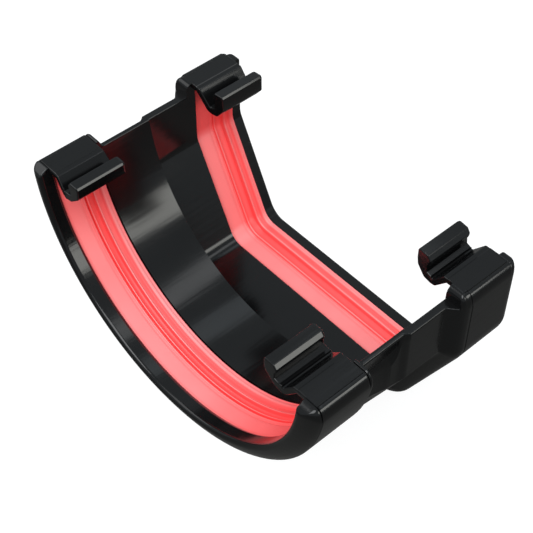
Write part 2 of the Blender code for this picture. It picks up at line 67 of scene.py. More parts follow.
class Outward(Enum):
    """Which way a surface of the wall looks."""

    OUT = 1
    IN = -1


class Side(Enum):
    """Which rim a clip sits on."""

    NEAR = 1
    FAR = -1


# geometry helpers
def lerp(a: float, b: float, t: float) -> float:
    """Value t of the way from a to b."""
    return a + (b - a) * t


def between(p: Point, q: Point, t: float) -> Point:
    """Point t of the way from p to q."""
    return lerp(p[0], q[0], t), lerp(p[1], q[1], t)


def clamped(value: float) -> float:
    """Value held between 0 and 1."""
    return max(0.0, min(1.0, value))


def direction(p: Point, q: Point) -> Point:
    """Direction between two points, one unit long.

    Args:
        p: Where it starts.
        q: Where it leads.

    Returns:
        The two parts of the direction.
    """
    across, up = q[0] - p[0], q[1] - p[1]
    length = math.hypot(across, up)
    return across / length, up / length


def fillet(corner: Point, before: Point, after: Point, radius: float, count: int) -> list[Point]:
    """Points of a rounded corner between two straight lines.

    Args:
        corner: The sharp corner.
        before: A point on the line that comes in.
        after: A point on the line that goes out.
        radius: Radius of the rounding.
        count: Number of points.

    Returns:
        The points, in order from the line that comes in.
    """
    u = direction(corner, before)
    v = direction(corner, after)
    half = math.acos(max(-1.0, min(1.0, u[0] * v[0] + u[1] * v[1]))) / 2
    cut = radius / math.tan(half)
    b = direction((0.0, 0.0), (u[0] + v[0], u[1] + v[1]))
    c = (corner[0] + b[0] * radius / math.sin(half), corner[1] + b[1] * radius / math.sin(half))
    start = math.atan2(corner[1] + u[1] * cut - c[1], corner[0] + u[0] * cut - c[0])
    stop = math.atan2(corner[1] + v[1] * cut - c[1], corner[0] + v[0] * cut - c[0])
    while stop - start > math.pi:
        stop -= 2 * math.pi
    while stop - start < -math.pi:
        stop += 2 * math.pi
    angles = (lerp(start, stop, i / (count - 1)) for i in range(count))
    return [(c[0] + radius * math.cos(a), c[1] + radius * math.sin(a)) for a in angles]


def softened(points: list[Point], rounds: int, share: float) -> list[Point]:
    """Closed outline with its corners cut off again and again.

    Args:
        points: The closed outline.
        rounds: How many times the corners are cut.
        share: Share of each side that a cut takes.

    Returns:
        The smoother closed outline.
    """
    for _ in range(rounds):
        sides = list(zip(points, points[1:] + points[:1]))
        points = [between(p, q, t) for p, q in sides for t in (share, 1 - share)]
    return points


def inset(outline: list[Point], depth: float) -> list[Point]:
    """Closed outline moved inward.

    Args:
        outline: The closed outline, whichever way it runs.
        depth: How far each point moves.

    Returns:
        The moved outline, point for point.
    """
    area = sum(p[0] * q[1] - q[0] * p[1] for p, q in zip(outline, outline[1:] + outline[:1]))
    turn = 1.0 if area > 0 else -1.0
    out = []
    for p, q, r in zip(outline[-1:] + outline[:-1], outline, outline[1:] + outline[:1]):
        u, v = direction(p, q), direction(q, r)
        nx, nz = -(u[1] + v[1]) * turn, (u[0] + v[0]) * turn
        length = math.hypot(nx, nz)
        out.append((q[0] + depth * nx / length, q[1] + depth * nz / length))
    return out


# mesh helpers
def linked(name: str, data: bpy.types.ID) -> bpy.types.Object:
    """Object of that name and data, linked into the scene.

    Args:
        name: Name of the object.
        data: Its mesh, curve, light or camera.

    Returns:
        The new object.
    """
    obj = bpy.data.objects.new(name, data)
    bpy.context.scene.collection.objects.link(obj)
    return obj


def skinned(rings: list[Ring], name: str) -> bpy.types.Object:
    """Closed solid from equal closed rings, capped at both ends.

    Args:
        rings: The rings, each with the same number of points.
        name: Name of the object.

    Returns:
        The new object, with its doubles merged and its faces turned outwards.
    """
    bm = bmesh.new()
    rows = [[bm.verts.new(p) for p in ring] for ring in rings]
    n = len(rings[0])
    for a, b in zip(rows, rows[1:]):
        for i in range(n):
            j = (i + 1) % n
            bm.faces.new((a[i], a[j], b[j], b[i]))
    caps = [bm.faces.new(rows[0][::-1]), bm.faces.new(rows[-1])]
    bm.normal_update()
    bmesh.ops.triangulate(bm, faces=caps, ngon_method="EAR_CLIP")
    bmesh.ops.remove_doubles(bm, verts=bm.verts, dist=DOUBLE)
    bmesh.ops.dissolve_degenerate(bm, dist=DOUBLE / 10, edges=bm.edges)
    bmesh.ops.recalc_face_normals(bm, faces=bm.faces)
    mesh = bpy.data.meshes.new(name)
    bm.to_mesh(mesh)
    bm.free()
    return linked(name, mesh)


def poly_curve(name: str, points: list[Place], closed: bool) -> bpy.types.Object:
    """Curve object of straight runs through points.

    Args:
        name: Name of the object.
        points: The points.
        closed: True if the last point joins the first.

    Returns:
        The new object.
    """
    data = bpy.data.curves.new(name, "CURVE")
    data.dimensions = "3D"
    line = data.splines.new("POLY")
    line.points.add(len(points) - 1)
    for p, q in zip(line.points, points):
        p.co = (*q, 1.0)
    line.use_cyclic_u = closed
    return linked(name, data)


def evaluated_mesh(obj: bpy.types.Object) -> None:
    """Turns an object's modifiers into plain mesh and removes them.

    Args:
        obj: The object, which keeps its name.
    """
    mesh = bpy.data.meshes.new_from_object(obj.evaluated_get(bpy.context.evaluated_depsgraph_get()))
    obj.modifiers.clear()
    old = obj.data
    obj.data = mesh
    bpy.data.meshes.remove(old)


def smoothed(obj: bpy.types.Object, angle: float) -> None:
    """Shades an object smooth, with its large flat faces kept flat.

    Args:
        obj: The mesh object.
        angle: Edges sharper than this, in degrees, stay sharp.
    """
    obj.data.shade_smooth()
    obj.data.set_sharp_from_angle(angle=math.radians(angle))
    weigh = obj.modifiers.new("flat_faces", "WEIGHTED_NORMAL")
    weigh.keep_sharp = True
    weigh.weight = FLAT_WEIGHT
    evaluated_mesh(obj)


# sizes
@dataclass(frozen=True)
class Track:
    """A value given at stations along the part; two entries at one station make a step.

    Attributes:
        keys: Pairs of station and value, in order.
        curved: True if the value runs smoothly through its keys.
    """

    keys: tuple[Point, ...]
    curved: bool = False

    def at(self, y: float, after: bool) -> float:
        """Value at a station.

        Args:
            y: The station.
            after: True for the far side of a step that stands there.

        Returns:
            The value.
        """
        keys = self.keys
        if y <= keys[0][0] - SAME:
            return keys[0][1]
        same = [v for k, v in keys if abs(k - y) < SAME]
        if same:
            return same[-1] if after else same[0]
        for i, ((y0, v0), (y1, v1)) in enumerate(zip(keys, keys[1:])):
            if y0 < y < y1:
                t = (y - y0) / (y1 - y0)
                return self._bowed(i, t) if self.curved else lerp(v0, v1, t)
        return keys[-1][1]

    def _slope(self, i: int) -> float:
        """Slope at a key that neither overshoots nor crosses a step.

        Args:
            i: Number of the key.

        Returns:
            The slope.
        """
        keys = self.keys
        if i in (0, len(keys) - 1):
            j = min(i, len(keys) - 2)
            span = keys[j + 1][0] - keys[j][0]
            return (keys[j + 1][1] - keys[j][1]) / span if span > SAME else 0.0
        before = keys[i][0] - keys[i - 1][0]
        beyond = keys[i + 1][0] - keys[i][0]
        if before < SAME or beyond < SAME:
            return 0.0
        a = (keys[i][1] - keys[i - 1][1]) / before
        b = (keys[i + 1][1] - keys[i][1]) / beyond
        return 0.0 if a * b <= 0 else 2 * a * b / (a + b)

    def _bowed(self, i: int, t: float) -> float:
        """Value along a smooth cubic between two keys.

        Args:
            i: Number of the key before it.
            t: How far it is on the way to the next key.

        Returns:
            The value.
        """
        (y0, v0), (y1, v1) = self.keys[i], self.keys[i + 1]
        span = y1 - y0
        m0, m1 = self._slope(i) * span, self._slope(i + 1) * span
        return ((2 * t ** 3 - 3 * t ** 2 + 1) * v0 + (t ** 3 - 2 * t ** 2 + t) * m0
                + (3 * t ** 2 - 2 * t ** 3) * v1 + (t ** 3 - t ** 2) * m1)

    def stations(self) -> list[float]:
        """The stations of the keys."""
        return [k for k, _ in self.keys]

    def steps(self) -> list[float]:
        """The stations at which the value steps."""
        return [a for (a, _), (b, _) in zip(self.keys, self.keys[1:]) if abs(a - b) < SAME]


@dataclass(frozen=True)
class AdaptorSizes:
    """Sizes of the adaptor in metres; heights from the plain rim, lengths from the half-round end."""

    trough_radius: float = 0.0545         # inside radius of the half-round trough
    arc_centre: float = 0.0058            # its centre stands this far above the rim
    trough_wall: float = 0.0017
    square_inset: float = 0.0001          # half-round radius to the half width of the square-line trough
    lip_depth: float = 0.0192             # depth of the upright part of the square-line side
    floor_inset: float = 0.0174           # flat floor inside that half width
    floor_drop: float = 0.0049            # square-line floor below the half-round one
    square_wall: float = 0.0026
    under_wall: float = 0.00205           # wall of the sloping sides and the floor
    edge_round: float = 0.0008            # outside rounding below the upright part
    crease_round: float = 0.0060          # inside rounding between the upright and the sloping side
    floor_round: float = 0.0055           # inside rounding between the sloping side and the floor
    round_socket_wall: float = 0.0071     # half-round trough inside to socket outside
    square_socket_wall: float = 0.0068    # square-line trough inside to socket outside
    nose: float = 0.0016                  # bulge of the half-round end in front of station 0
    round_mouth: float = 0.0037           # station 0 up to the half-round seal
    round_seal_width: float = 0.0145
    round_end_wall: float = 0.0013        # cheek wall behind the half-round seal
    round_link: float = 0.0183            # half-round trough behind that wall
    square_link: float = 0.0150           # square-line trough up to the collar
    collar: float = 0.0033                # collar in front of the square-line seal
    square_seal_width: float = 0.0149
    square_mouth: float = 0.0039          # square-line seal up to the end
    seal_thickness: float = 0.0036
    seal_gap: float = 0.0003              # clearance between a seal and its seat
    seal_back_gap: float = 0.0006         # clearance behind the half-round seal
    seal_top_gap: float = 0.0012          # clearance between a seal end and the clip plate
    mouth_lead: float = 0.0009            # inside of the mouth beside the seal, beyond the trough
    mouth_neck: float = 0.0002            # the same at its front edge
    mouth_round: float = 0.0019           # the bulge meets the outer wall here
    mouth_edge: float = 0.0013            # rounding of the inner front edge
    end_round: float = 0.0040             # outside rounding of the square-line end
    line_depth: float = 0.0003            # depth of the fine line around each socket
    line_half: float = 0.00025            # half width of that line
    round_plate_top: float = 0.0028       # clip plate above the rim, half-round end
    square_plate_top: float = 0.0044
    plate_thickness: float = 0.0021
    plate_sink: float = 0.00004           # clip plate below the rim of the wall that it grows from
    round_plate_reach: float = 0.0043     # trough inside to the inner edge of the plate
    square_plate_reach: float = 0.0034
    round_head_reach: float = 0.0149      # trough inside to the inner side of the thumb head
    square_head_reach: float = 0.0137
    round_head_top: float = 0.0053
    square_head_top: float = 0.0067
    valley_reach: float = 0.0081          # trough inside to the middle of the valley
    root_overlap: float = 0.0004          # clip plate into the wall behind the seat
    slit: float = 0.00035                 # slit between a clip plate and the end cheek
    square_slit_gap: float = 0.0007       # square-line seat to its slit
    round_corner: float = 0.0026          # rounding of the rim along the outer wall
    square_corner: float = 0.0028
    corner_tall: float = 1.80             # that rounding is taller than wide
    side_start: float = 0.0027            # depth below the rim where it has ended
    cheek_drop: float = 0.0013            # square-line cheek below the plate top

    @property
    def square_half(self) -> float:
        """Inside half width of the square-line trough."""
        return self.trough_radius - self.square_inset

    @property
    def floor_half(self) -> float:
        """Half width of the flat floor, taken to the sharp corner."""
        return self.square_half - self.floor_inset

    @property
    def square_depth(self) -> float:
        """Inside depth of the square-line trough."""
        return self.trough_radius - self.arc_centre + self.floor_drop

    @property
    def round_seat(self) -> Point:
        """Stations at which the half-round seal's seat starts and ends."""
        start = self.round_mouth
        return start, start + self.round_seal_width + self.seal_gap + self.seal_back_gap

    @property
    def round_end(self) -> float:
        """Station at which the half-round socket ends."""
        return self.round_seat[1] + self.round_end_wall

    @property
    def step(self) -> float:
        """Station of the step between the two troughs."""
        return self.round_end + self.round_link

    @property
    def collar_start(self) -> float:
        """Station at which the square-line collar starts."""
        return self.step + self.square_link

    @property
    def square_seat(self) -> Point:
        """Stations at which the square-line seal's seat starts and ends."""
        start = self.collar_start + self.collar
        return start, start + self.square_seal_width + 2 * self.seal_gap

    @property
    def slits(self) -> Point:
        """Stations at which the half-round and the square-line slit start."""
        return self.round_seat[1] - self.slit, self.square_seat[1] + self.square_slit_gap

    @property
    def length(self) -> float:
        """Station of the square-line end."""
        return self.square_seat[1] + self.square_mouth

    @property
    def groove(self) -> float:
        """Depth of a seal's seat below the trough inside."""
        return self.seal_thickness + self.seal_gap

    @property
    def bottom(self) -> float:
        """Plain rim above the lowest point."""
        return self.square_depth + self.square_socket_wall

    @property
    def middle(self) -> float:
        """Station of the middle of the part."""
        return (self.length - self.nose) / 2

    def placed(self, x: float, y: float, z: float) -> Place:
        """From rim and end coordinates to the part's frame."""
        return x, y - self.middle, z + self.bottom


@dataclass(frozen=True)
class Outlines:
    """Half cross sections of the trough, each from the rim down to the middle.

    Attributes:
        sizes: The adaptor's sizes.
        rim_points: Points on the rounded rim corner.
        crease_points: Points on the rounding below the upright side.
        floor_points: Points on the rounding beside the floor.
        run_points: Points along each flat run between roundings.
        side_clear: Least height between the rim corner and the plain side.
        border_depth: Depth of the fine step along the border of a plate.
    """

    sizes: AdaptorSizes
    rim_points: int = 11
    crease_points: int = 9
    floor_points: int = 11
    run_points: int = 4
    side_clear: float = 0.0003
    border_depth: float = 0.00036

    # which points of the rim corner make that step, and their share of the rounding
    BORDER = ((1, 0.930), (2, 0.860))

    @property
    def lower_points(self) -> int:
        """Points below the straight side of every outline."""
        return self.crease_points + self.floor_points + 2 * self.run_points + 1

    def top_corner(self, x_at: HalfWidth, top: float, rounding: float, look: Outward,
                   border: float = 0.0) -> list[Point]:
        """Rounded corner of the rim.

        Args:
            x_at: Half width of the wall at a height.
            top: Height of the rim.
            rounding: Width of the rounding.
            look: The way that the wall looks.
            border: How far the fine step along the border is there, 0 to 1.

        Returns:
            Its points, from the rim to the wall.
        """
        s = self.sizes
        tall = min(rounding * s.corner_tall, top + s.side_start - self.side_clear)
        x = x_at(top - tall)
        out = []
        for i in range(self.rim_points):
            a = i / (self.rim_points - 1) * math.pi / 2
            out.append((x - look.value * rounding * (1 - math.sin(a)), top - tall * (1 - math.cos(a))))
        for i, share in self.BORDER:
            sunk = (x - look.value * rounding * share, top - self.border_depth)
            out[i] = between(out[i], sunk, border)
        return out

    def arc_x(self, radius: float) -> HalfWidth:
        """Half width of an arc of that radius, as a function of height."""
        return lambda z: math.sqrt(max(radius ** 2 - (self.sizes.arc_centre - z) ** 2, 1e-12))

    def arc(self, radius: float, first: float, last: float, steps: int) -> list[Point]:
        """Arc about the middle of the half-round trough.

        Args:
            radius: Its radius.
            first: Angle below the level at its start.
            last: The same at its end.
            steps: Number of steps along it.

        Returns:
            Its points, one more than the steps.
        """
        centre = self.sizes.arc_centre
        angles = (lerp(first, last, i / steps) for i in range(steps + 1))
        return [(radius * math.cos(a), centre - radius * math.sin(a)) for a in angles]

    def half_round(self, radius: float, top: float, rounding: float, look: Outward,
                   border: float = 0.0) -> list[Point]:
        """Half outline of the half-round side.

        Args:
            radius: Radius of the wall.
            top: Height of the rim.
            rounding: Width of the rim's rounding.
            look: The way that the wall looks.
            border: How far the fine step along the border is there, 0 to 1.

        Returns:
            Its points.
        """
        s = self.sizes
        corner = self.top_corner(self.arc_x(radius), top, rounding, look, border)
        first = math.asin((s.arc_centre + s.side_start) / s.trough_radius)
        return corner + self.arc(radius, first, math.pi / 2, self.lower_points + 1)

    def corners(self, grow: float, side: float) -> tuple[Point, Point]:
        """Sharp corners of the square-line outline.

        Args:
            grow: How far the sloping side and the floor are moved outward.
            side: How far the upright is moved outward.

        Returns:
            The corner below the upright and the corner beside the floor.
        """
        s = self.sizes
        dx, dz = direction((s.square_half, -s.lip_depth), (s.floor_half, -s.square_depth))
        px, pz = s.square_half - dz * grow, -s.lip_depth + dx * grow
        x = s.square_half + side
        z = -(s.square_depth + grow)
        return (x, pz + dz * (x - px) / dx), (px + dx * (z - pz) / dz, z)

    def lower(self, grow: float, side: float | None = None, crease: float | None = None) -> list[Point]:
        """Outline from the upper end of the crease rounding down to the middle of the floor.

        Args:
            grow: How far the sloping side and the floor are moved outward.
            side: The same for the upright, where it differs.
            crease: Radius of the crease, where it isn't the trough's own.

        Returns:
            Its points.
        """
        s = self.sizes
        edge, floor = self.corners(grow, grow if side is None else side)
        one = fillet(edge, (edge[0], 0.0), floor, crease or s.crease_round + grow, self.crease_points)
        two = fillet(floor, edge, (0.0, floor[1]), s.floor_round + grow, self.floor_points)
        shares = [(i + 1) / (self.run_points + 1) for i in range(self.run_points)]
        slope = [between(one[-1], two[0], t) for t in shares]
        flat = [(two[-1][0] * t, two[-1][1]) for t in shares[::-1]]
        return one + slope + two + flat + [(0.0, floor[1])]

    def square(self, side: float, top: float, rounding: float, look: Outward, grow: float | None = None,
               crease: float | None = None, border: float = 0.0) -> list[Point]:
        """Half outline of the square-line side.

        Args:
            side: How far the upright is moved outward.
            top: Height of the rim.
            rounding: Width of the rim's rounding.
            look: The way that the wall looks.
            grow: How far the sloping side and the floor are moved outward, where it isn't the same.
            crease: Radius of the crease, where it isn't the trough's own.
            border: How far the fine step along the border is there, 0 to 1.

        Returns:
            Its points.
        """
        s = self.sizes
        x = s.square_half + side
        corner = self.top_corner(lambda z: x, top, rounding, look, border)
        lower = self.lower(side if grow is None else grow, side, crease)
        return corner + [(x, -s.side_start), (x, lerp(-s.side_start, lower[0][1], 0.5))] + lower


# finishes
class MaterialGraph:
    """A new material with its Principled shader, and short ways to add and link nodes."""

    def __init__(self, name: str) -> None:
        """Makes the material.

        Args:
            name: Its name.
        """
        self.material = bpy.data.materials.new(name)
        self.material.use_nodes = True
        self.nodes = self.material.node_tree.nodes
        self.links = self.material.node_tree.links
        self.shader = self.nodes["Principled BSDF"]

    def add(self, kind: str, **settings: object) -> bpy.types.Node:
        """Adds a node.

        Args:
            kind: Its type.
            **settings: Its properties.

        Returns:
            The node.
        """
        node = self.nodes.new(kind)
        for key, value in settings.items():
            setattr(node, key, value)
        return node

    def noise(self, scale: float, detail: float, stretch: Place) -> bpy.types.NodeSocket:
        """Noise over Object coordinates.

        Args:
            scale: Its scale.
            detail: Its detail.
            stretch: Scale along each axis.

        Returns:
            Its value.
        """
        where = self.add("ShaderNodeTexCoord")
        fit = self.add("ShaderNodeMapping")
        fit.inputs["Scale"].default_value = stretch
        grain = self.add("ShaderNodeTexNoise")
        grain.inputs["Scale"].default_value = scale
        grain.inputs["Detail"].default_value = detail
        self.links.new(where.outputs["Object"], fit.inputs["Vector"])
        self.links.new(fit.outputs["Vector"], grain.inputs["Vector"])
        return grain.outputs["Fac"]

    def ranged(self, value: bpy.types.NodeSocket, low: float, high: float) -> bpy.types.NodeSocket:
        """Spreads the middle of a noise over a range.

        Args:
            value: The noise.
            low: Result where the noise is 0.3 or less.
            high: Result where it is 0.7 or more.

        Returns:
            The result.
        """
        spread = self.add("ShaderNodeMapRange")
        spread.inputs["From Min"].default_value = 0.3
        spread.inputs["From Max"].default_value = 0.7
        spread.inputs["To Min"].default_value = low
        spread.inputs["To Max"].default_value = high
        self.links.new(value, spread.inputs["Value"])
        return spread.outputs["Result"]

    def multiplied(self, a: bpy.types.NodeSocket, b: bpy.types.NodeSocket) -> bpy.types.NodeSocket:
        """Product of two values.

        Args:
            a: One value.
            b: The other value.

        Returns:
            The product.
        """
        product = self.add("ShaderNodeMath", operation="MULTIPLY")
        self.links.new(a, product.inputs[0])
        self.links.new(b, product.inputs[1])
        return product.outputs["Value"]

    def tinted(self, value: bpy.types.NodeSocket, low: Colour, high: Colour) -> None:
        """Runs the base colour over a value.

        Args:
            value: The value.
            low: Colour at 0.
            high: Colour at 1.
        """
        mix = self.add("ShaderNodeMix", data_type="RGBA")
        ends = {socket.name: socket for socket in mix.inputs if socket.type == "RGBA"}
        ends["A"].default_value = (*low, 1.0)
        ends["B"].default_value = (*high, 1.0)
        self.links.new(value, mix.inputs["Factor"])
        mixed = next(socket for socket in mix.outputs if socket.type == "RGBA")
        self.links.new(mixed, self.shader.inputs["Base Color"])

    def bumped(self, height: bpy.types.NodeSocket, strength: float, distance: float,
               below: bpy.types.NodeSocket | None = None) -> bpy.types.NodeSocket:
        """Bump from a height.

        Args:
            height: The height.
            strength: Strength of the bump.
            distance: Its height in metres.
            below: Another bump that it lies over, if there is one.

        Returns:
            The bumped normal.
        """
        bump = self.add("ShaderNodeBump")
        bump.inputs["Strength"].default_value = strength
        bump.inputs["Distance"].default_value = distance
        self.links.new(height, bump.inputs["Height"])
        if below is not None:
            self.links.new(below, bump.inputs["Normal"])
        return bump.outputs["Normal"]


@dataclass(frozen=True)
class MouldedPlastic:
    """Glossy black plastic with faint draw marks and a soft orange peel.

    Attributes:
        name: Name of the material.
        dark: Colour in the darker clouds.
        light: Colour in the lighter clouds.
        gloss: Roughness in the darker clouds.
        dull: Roughness in the lighter clouds.
        cloud: Scale of the clouds.
        draw: Scale of the draw marks, which run along the part.
        draw_bump: Strength and height of the draw marks.
        peel: Scale of the orange peel.
        peel_bump: Strength and height of the orange peel.
        index: Index of refraction.
    """

    name: str = "adaptor_black"
    dark: Colour = (0.0024, 0.0025, 0.0027)
    light: Colour = (0.0044, 0.0045, 0.0047)
    gloss: float = 0.11
    dull: float = 0.18
    cloud: float = 60.0
    draw: float = 560.0
    draw_bump: Point = (0.26, 0.00012)
    peel: float = 2600.0
    peel_bump: Point = (0.03, 0.00004)
    index: float = 1.40

    def make(self) -> bpy.types.Material:
        """Builds the material.

        Returns:
            The material.
        """
        g = MaterialGraph(self.name)
        cloud = g.noise(self.cloud, 3.0, (1.0, 0.5, 1.0))
        draw = g.noise(self.draw, 3.0, (1.0, 0.06, 1.0))
        peel = g.noise(self.peel, 2.0, (1.0, 1.0, 1.0))
        g.tinted(cloud, self.dark, self.light)
        g.links.new(g.ranged(cloud, self.gloss, self.dull), g.shader.inputs["Roughness"])
        low = g.bumped(draw, *self.draw_bump)
        g.links.new(g.bumped(peel, *self.peel_bump, low), g.shader.inputs["Normal"])
        g.shader.inputs["IOR"].default_value = self.index
        return g.material


@dataclass(frozen=True)
class Band:
    """A place across a seal, with its height and painted sheen.

    Attributes:
        across: Share of the width from the front edge.
        height: Share of the thickness.
        painted_sheen: How strong the painted sheen is there.
    """

    across: float
    height: float
    painted_sheen: float


@dataclass(frozen=True)
class SealRubber:
    """Satin coral rubber with a fine grain and a painted sheen on its lip and ribs, strongest where they
    face up.

    Attributes:
        name: Name of the material.
        deep: Colour of the rubber where there is no painted sheen.
        painted_sheen: Colour of the full painted sheen.
        sheen_direction: Direction that a surface faces to get the strongest painted sheen.
        sheen_falloff: How fast the painted sheen falls off away from there.
        gloss: Roughness in the darker clouds.
        dull: Roughness in the lighter clouds.
        cloud: Scale of the clouds.
        cloud_share: Strength of the painted sheen in the darker and the lighter clouds.
        grain: Scale of the grain.
        grain_bump: Strength and height of the grain.
        index: Index of refraction.
    """

    name: str
    deep: Colour = (0.98, 0.064, 0.064)
    painted_sheen: Colour = (0.98, 0.335, 0.335)
    sheen_direction: Place = (0.32, 0.0, 0.947)
    sheen_falloff: float = 1.6
    gloss: float = 0.34
    dull: float = 0.44
    cloud: float = 90.0
    cloud_share: Point = (0.94, 1.06)
    grain: float = 3200.0
    grain_bump: Point = (0.12, 0.00004)
    index: float = 1.45

    def _across(self, g: MaterialGraph, front: float, width: float,
                bands: tuple[Band, ...]) -> bpy.types.NodeSocket:
        """Painted sheen by the place across the seal, strongest on the lip and the rib crests.

        Args:
            g: The material's nodes.
            front: Where the seal's front edge stands along Y.
            width: Width of the seal.
            bands: The bands across the seal.

        Returns:
            The strength of that painted sheen, 0 to 1.
        """
        where = g.add("ShaderNodeTexCoord")
        place = g.add("ShaderNodeMapping")
        axes = g.add("ShaderNodeSeparateXYZ")
        across = g.add("ShaderNodeMapRange")
        across.inputs["From Min"].default_value = front
        across.inputs["From Max"].default_value = front + width
        ramp = g.add("ShaderNodeValToRGB")
        stops = ramp.color_ramp.elements
        while len(stops) < len(bands):
            stops.new(1.0)
        for stop, band in zip(stops, bands):
            stop.position = band.across
            stop.color = (band.painted_sheen, band.painted_sheen, band.painted_sheen, 1.0)
        g.links.new(where.outputs["Object"], place.inputs["Vector"])
        g.links.new(place.outputs["Vector"], axes.inputs["Vector"])
        g.links.new(axes.outputs["Y"], across.inputs["Value"])
        g.links.new(across.outputs["Result"], ramp.inputs["Fac"])
        return ramp.outputs["Color"]

    def _facing(self, g: MaterialGraph) -> bpy.types.NodeSocket:
        """Painted sheen by the way that the surface faces, as if lit from one direction.

        Args:
            g: The material's nodes.

        Returns:
            The strength of that painted sheen, 0 to 1.
        """
        where = g.add("ShaderNodeTexCoord")
        facing = g.add("ShaderNodeVectorMath", operation="DOT_PRODUCT")
        facing.inputs[1].default_value = self.sheen_direction
        reach = g.add("ShaderNodeMath", operation="POWER", use_clamp=True)
        reach.inputs[1].default_value = self.sheen_falloff
        g.links.new(where.outputs["Normal"], facing.inputs[0])
        g.links.new(facing.outputs["Value"], reach.inputs[0])
        return reach.outputs["Value"]

    def make(self, front: float, width: float, bands: tuple[Band, ...]) -> bpy.types.Material:
        """Builds the material.

        Args:
            front: Where the seal's front edge stands along Y.
            width: Width of the seal.
            bands: The bands across the seal.

        Returns:
            The material.
        """
        g = MaterialGraph(self.name)
        cloud = g.noise(self.cloud, 3.0, (1.0, 1.0, 1.0))
        grain = g.noise(self.grain, 2.0, (1.0, 1.0, 1.0))
        # painted sheen: paler on the lip and rib crests and where the surface faces up, as lit rubber looks
        lit = g.multiplied(self._across(g, front, width, bands), self._facing(g))
        g.tinted(g.multiplied(lit, g.ranged(cloud, *self.cloud_share)), self.deep, self.painted_sheen)
        g.links.new(g.ranged(cloud, self.gloss, self.dull), g.shader.inputs["Roughness"])
        g.links.new(g.bumped(grain, *self.grain_bump), g.shader.inputs["Normal"])
        g.shader.inputs["IOR"].default_value = self.index
        return g.material


